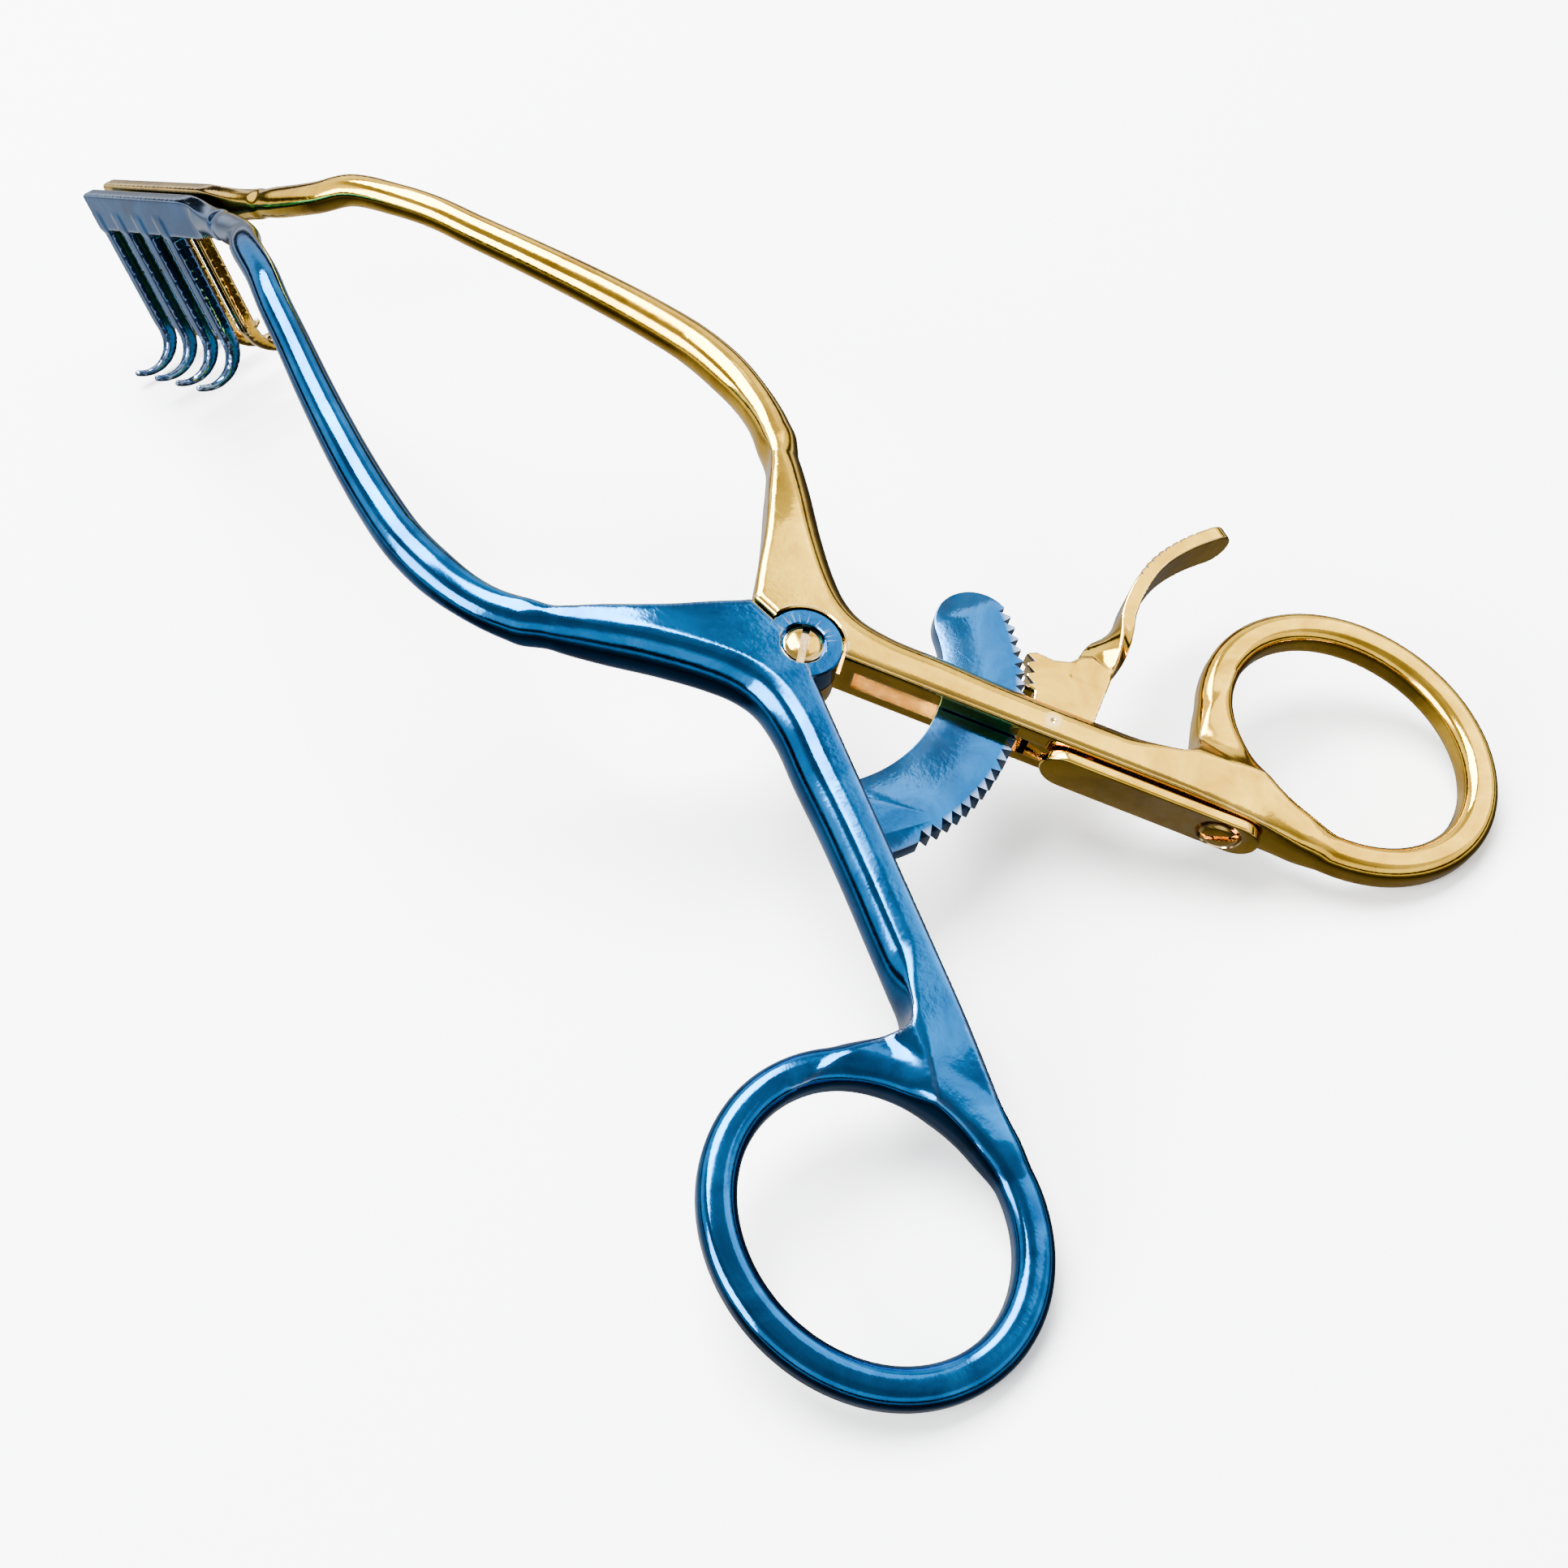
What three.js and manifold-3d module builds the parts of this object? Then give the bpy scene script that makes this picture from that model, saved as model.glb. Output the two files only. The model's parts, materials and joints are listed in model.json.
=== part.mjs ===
// A self-retaining ring-handled ratchet retractor: two arms on a half-lap joint, a toothed
// ratchet bar, a spring-loaded release lever and a four-tined rake on each arm.
// Millimetres, +Z up. The tool lies as it rests on a table: both rings and the far tines touch it.
import * as THREE from 'three';
import { mergeVertices } from 'three/addons/utils/BufferGeometryUtils.js';
import Module from 'manifold-3d';

const wasm = await Module();
wasm.setup();

// ---- driving dimensions (instrument frame: pivot at the origin, +Y to the tips, +Z normal) ----
const GAP = 0.3;                       // air between neighbouring pieces
const SHANK_HALF = 3.7;                // half thickness of shank and joint
const HANDLE_ANGLE = 0.421;            // each shank's lean from the centre line, radians
const SHANK_INNER = 0.35;              // inner shank face, off the line through the pivot
const DISC_R = 4.35;                   // half-lap disc
const RING = { x: 39.0, y: -48.2, rx: 13.9, ry: 16.0, band: 1.95, half: 2.05 };

const RATCHET = { inner: 16.0, root: 24.0, tip: 25.2, low: -1.45, high: 0.85 };
const RATCHET_TEETH = 24;
const TOOTH_PITCH = THREE.MathUtils.degToRad(3.37);
const TOOTH_SLOPE = 0.74 * TOOTH_PITCH; // the long face of a tooth; the rest is its steep face
const TEETH_START = THREE.MathUtils.degToRad(-26);
const RATCHET_CAP = -0.505;            // where the rounded free end begins, radians
const TENON = { inner: 17.6, outer: 23.2, from: -1.96, to: -2.17 };
const ROOT_PIN = { r: 0.7, low: -3.6, high: 2.2, angle: -2.09, at: [18.8, 22.0] };

const SLOT = { from: 6.2, to: 33.6 };  // ratchet slot along the shank
const PIN = { s: 28.0, t: 2.3, r: 1.1 };
const PAWL_TEETH = 3;
const PAWL_DEPTH = 0.7;                // how far a pawl tooth reaches past the bar's crests when it is in
const PAWL_LIFT = 0.114;               // turn about its pin that holds the pawl just clear of the crests
const PAWL_FIRST_TOOTH = 4;            // ratchet tooth that the pawl's first tooth follows
const LEVER_NECK = [[22.5, -25.8], [25.4, -24.6], [28.4, -23.4], [28.0, -21.5], [25.2, -20.8], [22.8, -20.3],
  [21.6, -19.0], [21.2, -17.9]];
const STRAP = { from: 24.4, to: 51.2, low: -2.8, high: 2.2, thick: 1.8 };
const STRAP_PLAN = [[24.6, -24.0], [30.0, -21.8], [35.5, -19.6], [40.5, -18.7], [45.3, -19.3], [51.6, -21.4]];
const LEAF = { from: 28.4, to: 53.4, half: 2.9, thick: 1.3, screw: 49.0 };

const BAR_R = 2.05;                    // jaw bar
const DROP = 0.625;                    // how steeply the arm ends bend down, radians
const CORNER = new THREE.Vector3(9.2, 82.8, 0);
const END_LENGTH = 66.8;               // corner to the far end of the rake plate
const RAKE_X = 1.7;
const RAKE = { tall: 5.6, thick: 2.3, from: 24 };
const TINES = 4;
const TINE_PITCH = 7.45;
const TINE = { wide: 2.5, straight: 18.8, hook: 4.7, sweep: 1.9, far: 0.7 };

const JOINT_SCREW = { head: 2.2, bore: 2.5, sink: 1.7, shank: 1.4, slot: 0.6, turn: 0.62 };
const LEAF_SCREW = { head: 2.1, bore: 2.4, sink: 0.6, shank: 0.9, slot: 0.6, long: 3.6 };

// ---- colours ----
const finish = (color, roughness) => new THREE.MeshStandardMaterial({ color, roughness, metalness: 1 });
const BLUE = () => finish(0x1767a0, 0.18);
const GOLD = () => finish(0xcfae4c, 0.2);

// ---- solids ----
const solid = (geometry) => {
  const bare = geometry.clone();
  bare.deleteAttribute('normal');
  bare.deleteAttribute('uv');
  const merged = mergeVertices(bare, 1e-4);
  const vertProperties = new Float32Array(merged.attributes.position.array);
  return new wasm.Manifold(new wasm.Mesh({
    numProp: 3, vertProperties, triVerts: new Uint32Array(merged.index.array),
  }));
};

const toGeometry = (body) => {
  const { vertProperties, triVerts } = body.getMesh();
  const geometry = new THREE.BufferGeometry();
  geometry.setAttribute('position', new THREE.BufferAttribute(new Float32Array(vertProperties), 3));
  geometry.setIndex(new THREE.BufferAttribute(new Uint32Array(triVerts), 1));
  geometry.computeVertexNormals();
  return geometry;
};

const join = (...bodies) => bodies.reduce((all, body) => all.add(body));
const cut = (body, ...tools) => tools.reduce((rest, tool) => rest.subtract(tool), body);

const named = (name, body, material) => {
  const mesh = new THREE.Mesh(toGeometry(body), material);
  mesh.name = name;
  return mesh;
};

// a flat outline raised from z = low to z = high, with bevelled rims
const slab = (shape, low, high, bevel = 0, curveSegments = 12) => {
  const geometry = new THREE.ExtrudeGeometry(shape, {
    depth: high - low - 2 * bevel, curveSegments, steps: 1, bevelEnabled: bevel > 0,
    bevelThickness: bevel, bevelSize: bevel, bevelOffset: -bevel, bevelSegments: 2,
  });
  return geometry.translate(0, 0, low + bevel);
};

const disc = (r, low, high, x = 0, y = 0, sides = 40) => {
  const geometry = new THREE.CylinderGeometry(r, r, high - low, sides).rotateX(Math.PI / 2);
  return geometry.translate(x, y, (low + high) / 2);
};

// places geometry drawn in (X, Y, Z) on the given three directions and origin
const onBasis = (geometry, ex, ey, ez, origin) => {
  const matrix = new THREE.Matrix4().makeBasis(ex, ey, ez).setPosition(origin);
  return geometry.applyMatrix4(matrix);
};

const sweep = (points, section, steps) => {
  const path = new THREE.CatmullRomCurve3(points, false, 'centripetal');
  return new THREE.ExtrudeGeometry(section, { steps, extrudePath: path, bevelEnabled: false });
};

const roundSection = (r, sides) => {
  const points = [];
  for (let i = 0; i < sides; i += 1) {
    const a = (i / sides) * 2 * Math.PI;
    points.push(new THREE.Vector2(r * Math.cos(a), r * Math.sin(a)));
  }
  return new THREE.Shape(points);
};

// ---- shank frame: s runs down the handle, t outwards from the line through the pivot ----
const alongShank = new THREE.Vector3(Math.sin(HANDLE_ANGLE), -Math.cos(HANDLE_ANGLE), 0);
const acrossShank = new THREE.Vector3(Math.cos(HANDLE_ANGLE), Math.sin(HANDLE_ANGLE), 0);
const UP = new THREE.Vector3(0, 0, 1);
const onShank = (s, t, z = 0) => new THREE.Vector3()
  .addScaledVector(alongShank, s).addScaledVector(acrossShank, t).setZ(z);

const polar = (r, a) => new THREE.Vector2(r * Math.cos(a), r * Math.sin(a));

// ---- arms ----
// side is +1 for the right arm and -1 for the left; the disc lies low on the right arm, high on the left
const ringPoint = (offset, a) => new THREE.Vector2(
  RING.x + (RING.rx + offset) * Math.cos(a),
  RING.y + (RING.ry + offset) * Math.sin(a),
);

const ringShape = (side) => {
  const shape = new THREE.Shape();
  const points = [];
  for (let i = 0; i <= 30; i += 1) {
    points.push(ringPoint(RING.band, Math.PI * (-1.02 + (1.65 * i) / 30)));
  }
  points.push(new THREE.Vector2(24.2, -36.0), new THREE.Vector2(19.9, -35.0));
  points.push(new THREE.Vector2(16.0, -34.8), new THREE.Vector2(20.2, -44.6));
  shape.setFromPoints(points.map((p) => new THREE.Vector2(side * p.x, p.y)));
  const hole = new THREE.Path();
  const rim = [];
  for (let i = 0; i < 36; i += 1) rim.push(ringPoint(-RING.band, side * (i / 36) * 2 * Math.PI));
  hole.setFromPoints(rim.map((p) => new THREE.Vector2(side * p.x, p.y)));
  shape.holes.push(hole);
  return shape;
};

const armOutline = (side) => {
  const inner = (s) => onShank(s, SHANK_INNER).toArray();
  const points = [
    [GAP / 2, 8.0], [3.6, 10.3], [7.4, 13.2], [12.1, 17.3], [16.4, 21.7], [19.0, 26.4], [20.2, 31.0],
    [20.3, 35.0], [24.6, 35.0], [24.7, 30.6], [23.6, 26.2], [21.4, 22.0], [19.0, 18.2], [16.5, 14.8],
    [12.9, 9.2], [10.2, 4.6], [8.9, 1.6], [8.5, -1.2], [9.4, -5.0], [11.6, -10.3], [13.9, -16.5],
    [16.5, -22.6], [19.7, -29.4], [22.9, -36.3], [24.4, -36.9], [24.6, -44.0],
    inner(52), inner(30), inner(6), [GAP / 2, 0.3],
  ];
  return new THREE.Shape(points.map(([x, y]) => new THREE.Vector2(side * x, y)));
};

// side view of an arm: full thickness at the joint, thinner towards the ring and the jaw
const armProfile = () => {
  const half = [[-54, 2.1], [-42, SHANK_HALF], [10, SHANK_HALF], [24, 2.7], [36, 2.1]];
  const upper = half.map(([y, z]) => new THREE.Vector2(y, z));
  const lower = half.map(([y, z]) => new THREE.Vector2(y, -z)).reverse();
  const slice = slab(new THREE.Shape([...upper, ...lower]), -40, 40);
  return onBasis(slice, new THREE.Vector3(0, 1, 0), UP, new THREE.Vector3(1, 0, 0), new THREE.Vector3());
};

// ---- jaws: round bar, corner, down-bent end, rake plate and hooked tines ----
const dropDir = new THREE.Vector3(0, Math.cos(DROP), -Math.sin(DROP));
const tineDir = new THREE.Vector3(0, -Math.sin(DROP), -Math.cos(DROP));
const onEnd = (side, x, w, v = 0) => new THREE.Vector3(side * x, CORNER.y, CORNER.z)
  .addScaledVector(dropDir, w).addScaledVector(tineDir, v);

const jawBar = (side) => {
  const plan = [[21.3, 27.5], [22.5, 34], [22.4, 39.5], [21.3, 45.5], [19.6, 52.2], [16.9, 61], [14.0, 69.5],
    [10.6, 79]];
  const points = plan.map(([x, y]) => new THREE.Vector3(side * x, y, 0));
  const end = [[8.4, 1.8], [5.6, 9.5], [3.3, 19.5], [2.3, 28]];
  end.forEach(([x, w]) => points.push(onEnd(side, x, w)));
  return sweep(points, roundSection(BAR_R, 10), 46);
};

const rakePlate = (side) => {
  const top = -RAKE.tall / 2;
  const shape = new THREE.Shape();
  shape.moveTo(RAKE.from, top + 0.8);
  shape.lineTo(RAKE.from + 6, top);
  shape.lineTo(END_LENGTH - 0.8, top);
  shape.lineTo(END_LENGTH, top + 0.8);
  shape.lineTo(END_LENGTH - TINE.far, -top);
  shape.lineTo(RAKE.from + 6, -top);
  shape.lineTo(RAKE.from, -top - 0.8);
  const plate = slab(shape, -RAKE.thick / 2, RAKE.thick / 2, 0.4);
  const across = new THREE.Vector3().crossVectors(dropDir, tineDir);
  return onBasis(plate, dropDir, tineDir, across, onEnd(side, RAKE_X, 0));
};

const tine = (side, index) => {
  const w = END_LENGTH - TINE.far - TINE.wide / 2 - index * TINE_PITCH;
  const points = [];
  for (let i = 0; i <= 2; i += 1) points.push(onEnd(side, RAKE_X, w, (i / 2) * TINE.straight));
  for (let i = 1; i <= 6; i += 1) {
    const a = (i / 6) * TINE.sweep;
    const out = TINE.hook * (1 - Math.cos(a));
    points.push(onEnd(side, RAKE_X + out, w, TINE.straight + TINE.hook * Math.sin(a)));
  }
  return sweep(points, roundSection(TINE.wide / 2, 8), 14);
};

const arm = (side) => {
  const plan = solid(slab(armOutline(side), -SHANK_HALF, SHANK_HALF, 0.7));
  const ring = solid(slab(ringShape(side), -RING.half, RING.half, 0.8));
  const [discLow, discHigh] = side > 0 ? [-SHANK_HALF, -GAP / 2] : [GAP / 2, SHANK_HALF];
  const [recessLow, recessHigh] = side > 0 ? [-GAP / 2, SHANK_HALF + 1] : [-SHANK_HALF - 1, GAP / 2];
  const lapped = cut(
    plan.intersect(solid(armProfile())),
    solid(disc(DISC_R + GAP, recessLow, recessHigh)),
  );
  const rake = solid(rakePlate(side));
  const tines = Array.from({ length: TINES }, (_, i) => solid(tine(side, i)));
  return join(lapped, solid(disc(DISC_R, discLow, discHigh)), ring, solid(jawBar(side)), rake, ...tines);
};

// ---- ratchet bar ----
const annulus = (inner, outer, from, to) => {
  const shape = new THREE.Shape();
  shape.absarc(0, 0, outer, from, to, true);
  shape.absarc(0, 0, inner, to, from, false);
  return shape;
};

const ratchetShape = () => {
  const points = [];
  for (let i = 0; i < RATCHET_TEETH; i += 1) {
    const a = TEETH_START - i * TOOTH_PITCH;
    points.push(polar(RATCHET.root, a), polar(RATCHET.tip, a - TOOTH_SLOPE));
  }
  const lastTooth = TEETH_START - RATCHET_TEETH * TOOTH_PITCH;
  points.push(polar(RATCHET.root, lastTooth), polar(RATCHET.root, TENON.from));
  for (let i = 0; i <= 14; i += 1) {
    points.push(polar(RATCHET.inner, TENON.from + (i / 14) * (RATCHET_CAP - TENON.from)));
  }
  const mid = (RATCHET.inner + RATCHET.tip) / 2;
  const half = (RATCHET.tip - RATCHET.inner) / 2;
  const cap = polar(mid, RATCHET_CAP);
  for (let i = 1; i < 12; i += 1) {
    const a = RATCHET_CAP + Math.PI - (i / 12) * Math.PI * 0.93;
    points.push(new THREE.Vector2(cap.x + half * Math.cos(a), cap.y + half * Math.sin(a)));
  }
  return new THREE.Shape(points);
};

// the tenon, or with a clearance the mortise that holds it, left open towards the bar
const tenonShape = (clearance) => annulus(
  TENON.inner - clearance, TENON.outer + clearance,
  TENON.from + 0.02 + clearance / 3, TENON.to - clearance / TENON.outer,
);

const ratchetBar = () => join(
  solid(slab(ratchetShape(), RATCHET.low, RATCHET.high, 0)),
  solid(slab(tenonShape(0), RATCHET.low, RATCHET.high, 0)),
);

const rootPinAt = (index) => polar(ROOT_PIN.at[index], ROOT_PIN.angle);

// ---- release lever: toothed plate in the slot, and an upright strap that ends in a thumb pad ----
const pinCentre = onShank(PIN.s, PIN.t);

// the pawl's edge is drawn in the bar's teeth, then turned about the pin to where it clears them
const lifted = (p) => new THREE.Vector2(p.x, p.y).rotateAround(pinCentre, -PAWL_LIFT);

const leverPlate = () => {
  const first = TEETH_START - PAWL_FIRST_TOOTH * TOOTH_PITCH;
  const points = [polar(RATCHET.tip + 0.3, first + 0.01)];
  for (let i = 0; i < PAWL_TEETH; i += 1) {
    const a = first - i * TOOTH_PITCH;
    points.push(polar(RATCHET.tip - PAWL_DEPTH, a), polar(RATCHET.tip + GAP, a - TOOTH_SLOPE));
  }
  const last = TEETH_START - (PAWL_FIRST_TOOTH + PAWL_TEETH) * TOOTH_PITCH;
  points.push(polar(RATCHET.tip + 0.4, last - 0.02));
  points.forEach((p, i) => { points[i] = lifted(p); });
  points.push(onShank(25.9, 2.2), onShank(26.6, 1.2), onShank(28.2, 0.95), onShank(31.2, 0.95));
  points.push(onShank(31.9, 2.0), onShank(32.3, 6.3));
  LEVER_NECK.forEach(([x, y]) => points.push(new THREE.Vector2(x, y)));
  return new THREE.Shape(points.map((p) => new THREE.Vector2(p.x, p.y)));
};

// the strap stands on edge: 5 mm tall, curving outwards in plan to the thumb pad
const strapSide = () => {
  const shape = new THREE.Shape();
  const r = (STRAP.high - STRAP.low) / 2;
  shape.moveTo(STRAP.from, RATCHET.low);
  shape.quadraticCurveTo(STRAP.from + 4, RATCHET.low, STRAP.from + 7, STRAP.low);
  shape.absarc(STRAP.to - r, STRAP.low + r, r, -Math.PI / 2, Math.PI / 2, false);
  shape.lineTo(STRAP.from + 7, STRAP.high);
  shape.quadraticCurveTo(STRAP.from + 4, RATCHET.high, STRAP.from, RATCHET.high);
  const side = slab(shape, -40, 40);
  return onBasis(side, new THREE.Vector3(1, 0, 0), UP, new THREE.Vector3(0, -1, 0), new THREE.Vector3());
};

const leverStrap = () => {
  const middle = (STRAP.low + STRAP.high) / 2;
  const points = STRAP_PLAN.map(([x, y]) => new THREE.Vector3(x, y, middle));
  const section = new THREE.Shape();
  const [tall, thick] = [STRAP.high - STRAP.low + 1, STRAP.thick];
  section.moveTo(-tall / 2, -thick / 2).lineTo(tall / 2, -thick / 2);
  section.lineTo(tall / 2, thick / 2).lineTo(-tall / 2, thick / 2);
  return solid(sweep(points, section, 16)).intersect(solid(strapSide()));
};

const releaseLever = () => cut(
  join(solid(slab(leverPlate(), RATCHET.low, RATCHET.high, 0)), leverStrap()),
  solid(disc(PIN.r + GAP, -5, 5, pinCentre.x, pinCentre.y, 20)),
);

// ---- leaf spring and its screw, on the inner face of the right shank ----
const inward = acrossShank.clone().negate();
const leafOrigin = onShank(0, SHANK_INNER - GAP);

const leafSpring = () => {
  const r = LEAF.half;
  const shape = new THREE.Shape();
  shape.absarc(LEAF.from + r, 0, r, Math.PI / 2, 1.5 * Math.PI, false);
  shape.absarc(LEAF.to - r, 0, r, -Math.PI / 2, Math.PI / 2, false);
  const strip = slab(shape, 0, LEAF.thick, 0.2, 8);
  const bores = [
    disc(LEAF_SCREW.shank + GAP, -1, 3, LEAF.screw, 0, 20),
    disc(LEAF_SCREW.bore, LEAF.thick - LEAF_SCREW.sink, 3, LEAF.screw, 0, 28),
  ];
  const body = cut(solid(strip), ...bores.map(solid));
  return solid(onBasis(toGeometry(body), alongShank, UP, inward, leafOrigin));
};

// a slotted cheese-head screw turned about its own axis, head upwards
const slottedScrew = (screw, headLow, headHigh, shankLow) => {
  const profile = [[0, shankLow], [screw.shank - 0.2, shankLow], [screw.shank, shankLow + 0.2],
    [screw.shank, headLow], [screw.head, headLow], [screw.head, headHigh - 0.3],
    [screw.head - 0.4, headHigh], [0, headHigh]];
  const turned = new THREE.LatheGeometry(profile.map(([r, z]) => new THREE.Vector2(r, z)), 28);
  const slot = new THREE.BoxGeometry(3 * screw.head, screw.slot, 0.7).translate(0, 0, headHigh);
  return cut(solid(turned.rotateX(Math.PI / 2)), solid(slot));
};

const leafScrew = () => {
  const seat = LEAF.thick - LEAF_SCREW.sink + GAP;
  const body = slottedScrew(LEAF_SCREW, seat, LEAF.thick + 0.4, -LEAF_SCREW.long);
  const spot = leafOrigin.clone().addScaledVector(alongShank, LEAF.screw);
  return solid(onBasis(toGeometry(body), alongShank, UP, inward, spot));
};

const jointScrew = () => {
  const seat = SHANK_HALF - JOINT_SCREW.sink + GAP;
  const body = slottedScrew(JOINT_SCREW, seat, SHANK_HALF, -SHANK_HALF + 0.1);
  return solid(toGeometry(body).rotateZ(JOINT_SCREW.turn));
};

// ---- the two finished arms ----
const shankBox = (from, to, t0, t1, z0, z1) => {
  const box = new THREE.BoxGeometry(to - from, t1 - t0, z1 - z0);
  box.translate((from + to) / 2, (t0 + t1) / 2, (z0 + z1) / 2);
  return solid(onBasis(box, alongShank, acrossShank, UP, new THREE.Vector3()));
};

const pivotBore = solid(disc(JOINT_SCREW.shank + GAP, -9, 9));

const rightArm = () => {
  const leafScrewBore = onBasis(
    disc(LEAF_SCREW.shank + GAP, -LEAF_SCREW.long - GAP, 2, 0, 0, 20),
    alongShank, UP, inward, leafOrigin.clone().addScaledVector(alongShank, LEAF.screw),
  );
  return cut(
    arm(1),
    pivotBore,
    shankBox(SLOT.from, SLOT.to, -2, 9, RATCHET.low - GAP, RATCHET.high + GAP),
    solid(disc(PIN.r + GAP, -SHANK_HALF + 0.9, 9, pinCentre.x, pinCentre.y, 20)),
    solid(leafScrewBore),
  );
};

const leftArm = () => {
  const rootPinBores = [0, 1].map((i) => {
    const { x, y } = rootPinAt(i);
    return solid(disc(ROOT_PIN.r + GAP, -9, ROOT_PIN.high + GAP, x, y, 16));
  });
  return cut(
    arm(-1),
    pivotBore,
    solid(disc(JOINT_SCREW.bore, SHANK_HALF - JOINT_SCREW.sink, 9)),
    solid(slab(tenonShape(GAP), RATCHET.low - GAP, RATCHET.high + GAP)),
    ...rootPinBores,
  );
};

const rootPin = (index) => {
  const { x, y } = rootPinAt(index);
  return solid(disc(ROOT_PIN.r, ROOT_PIN.low, ROOT_PIN.high, x, y, 16));
};

const drilledRatchet = () => cut(ratchetBar(), ...[0, 1].map((i) => {
  const { x, y } = rootPinAt(i);
  return solid(disc(ROOT_PIN.r + GAP, -9, 9, x, y, 16));
}));

const leverPin = solid(disc(PIN.r, -SHANK_HALF + 1.2, SHANK_HALF, pinCentre.x, pinCentre.y, 20));

// ---- assembly ----
const instrument = new THREE.Group();
instrument.add(
  named('left_arm', leftArm(), BLUE()),
  named('right_arm', rightArm(), GOLD()),
  named('ratchet_bar', drilledRatchet(), BLUE()),
  named('ratchet_pin_1', rootPin(0), BLUE()),
  named('ratchet_pin_2', rootPin(1), BLUE()),
  named('joint_screw', jointScrew(), GOLD()),
  named('release_lever', releaseLever(), GOLD()),
  named('lever_pin', leverPin, GOLD()),
  named('leaf_spring', leafSpring(), GOLD()),
  named('spring_screw', leafScrew(), GOLD()),
);

// rests on the rings and on the far tines: their heights set the tilt
const lastTine = END_LENGTH - TINE.far - TINE.wide / 2;
const tineLow = onEnd(1, RAKE_X, lastTine, TINE.straight + TINE.hook + TINE.wide / 2);
const ringLow = new THREE.Vector3(0, RING.y - RING.ry, -RING.half);
instrument.rotation.x = Math.atan2(ringLow.z - tineLow.z, tineLow.y - ringLow.y);

const group = new THREE.Group();
group.add(instrument);
group.updateMatrixWorld(true);
const bounds = new THREE.Box3().setFromObject(group, true);
const middle = bounds.getCenter(new THREE.Vector3());
instrument.position.set(-middle.x, -middle.y, -bounds.min.z);

export default group;
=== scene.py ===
import json
import math

import bmesh
import bpy
import numpy as np
from mathutils import Matrix, Vector


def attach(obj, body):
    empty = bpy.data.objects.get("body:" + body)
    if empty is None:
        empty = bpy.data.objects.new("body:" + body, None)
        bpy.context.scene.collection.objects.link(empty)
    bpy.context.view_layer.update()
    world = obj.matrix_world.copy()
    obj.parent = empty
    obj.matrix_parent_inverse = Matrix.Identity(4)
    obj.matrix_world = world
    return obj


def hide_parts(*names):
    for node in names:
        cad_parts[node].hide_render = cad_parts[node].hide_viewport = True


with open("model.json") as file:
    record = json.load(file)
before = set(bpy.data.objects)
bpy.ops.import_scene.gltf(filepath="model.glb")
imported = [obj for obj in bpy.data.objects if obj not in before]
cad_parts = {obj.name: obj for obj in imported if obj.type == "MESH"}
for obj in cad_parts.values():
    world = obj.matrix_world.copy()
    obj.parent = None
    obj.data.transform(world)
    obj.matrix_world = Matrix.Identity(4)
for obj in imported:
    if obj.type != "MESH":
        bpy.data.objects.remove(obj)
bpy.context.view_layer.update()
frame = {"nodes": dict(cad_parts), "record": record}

bl_info = {
    "name": "Ratchet Retractor",
    "version": (1, 0, 0),
    "blender": (4, 5, 0),
    "location": "3D View > Sidebar > Retractor",
    "description": "Builds a self-retaining ring-handled ratchet retractor of coated, polished steel",
    "category": "Object",
}

MM = 0.001

# The tool's own frame is used for every shape: pivot at the origin, +Y to the tips, +Z square to
# the handles, the blue arm at -X. The jaw hinge says how that frame lies in the model's frame.
HINGE = next(j for j in frame["record"]["behaviour"]["joints"] if j["name"] == "jaw_pivot")
TILT = math.atan2(HINGE["axis"][1], -HINGE["axis"][2])
PLACE = Matrix.Translation(HINGE["pos_m"]) @ Matrix.Rotation(TILT, 4, "X")


# ---- sizes and colours that a user would change ----
def length(name, description, millimetres):
    return bpy.props.FloatProperty(name=name, description=description, default=millimetres * MM,
                                   unit="LENGTH", subtype="DISTANCE", precision=5)


def angle(name, description, degrees):
    return bpy.props.FloatProperty(name=name, description=description, default=math.radians(degrees),
                                   unit="ROTATION", subtype="ANGLE")


def colour(name, description, hexadecimal):
    return bpy.props.StringProperty(name=name, description=description, default=hexadecimal)


class ArmSizes(bpy.types.PropertyGroup):
    mesh_step: length("Mesh step", "Spacing of the fine surface mesh", 0.33)
    half: length("Half thickness", "Half the thickness of the shank and the joint", 3.7)
    disc_radius: length("Disc radius", "Radius of each half of the lap joint", 4.35)
    gap: length("Gap", "Air between neighbouring pieces", 0.3)
    bar_root: length("Bar radius at root", "Radius of the jaw bar where it leaves the arm", 2.6)
    bar_tip: length("Bar radius at corner", "Radius of the jaw bar where it bends down", 1.95)
    ring_x: length("Ring X", "Centre of a finger ring, out from the centre line", 39.0)
    ring_y: length("Ring Y", "Centre of a finger ring, along the tool", -48.2)
    ring_wide: length("Ring half width", "Half width of the ring's middle line", 13.9)
    ring_long: length("Ring half length", "Half length of the ring's middle line", 16.0)
    ring_band: length("Ring band", "Half the width of the ring's band", 1.95)
    ring_half: length("Ring half height", "Half the height of the ring's band", 2.05)
    rake_x: length("Rake X", "Middle of the rake plate, out from the centre line", 1.7)
    tine_pitch: length("Tine pitch", "Spacing of the four tines", 7.45)
    hook: length("Hook radius", "Radius of a tine's hook", 4.7)


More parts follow.
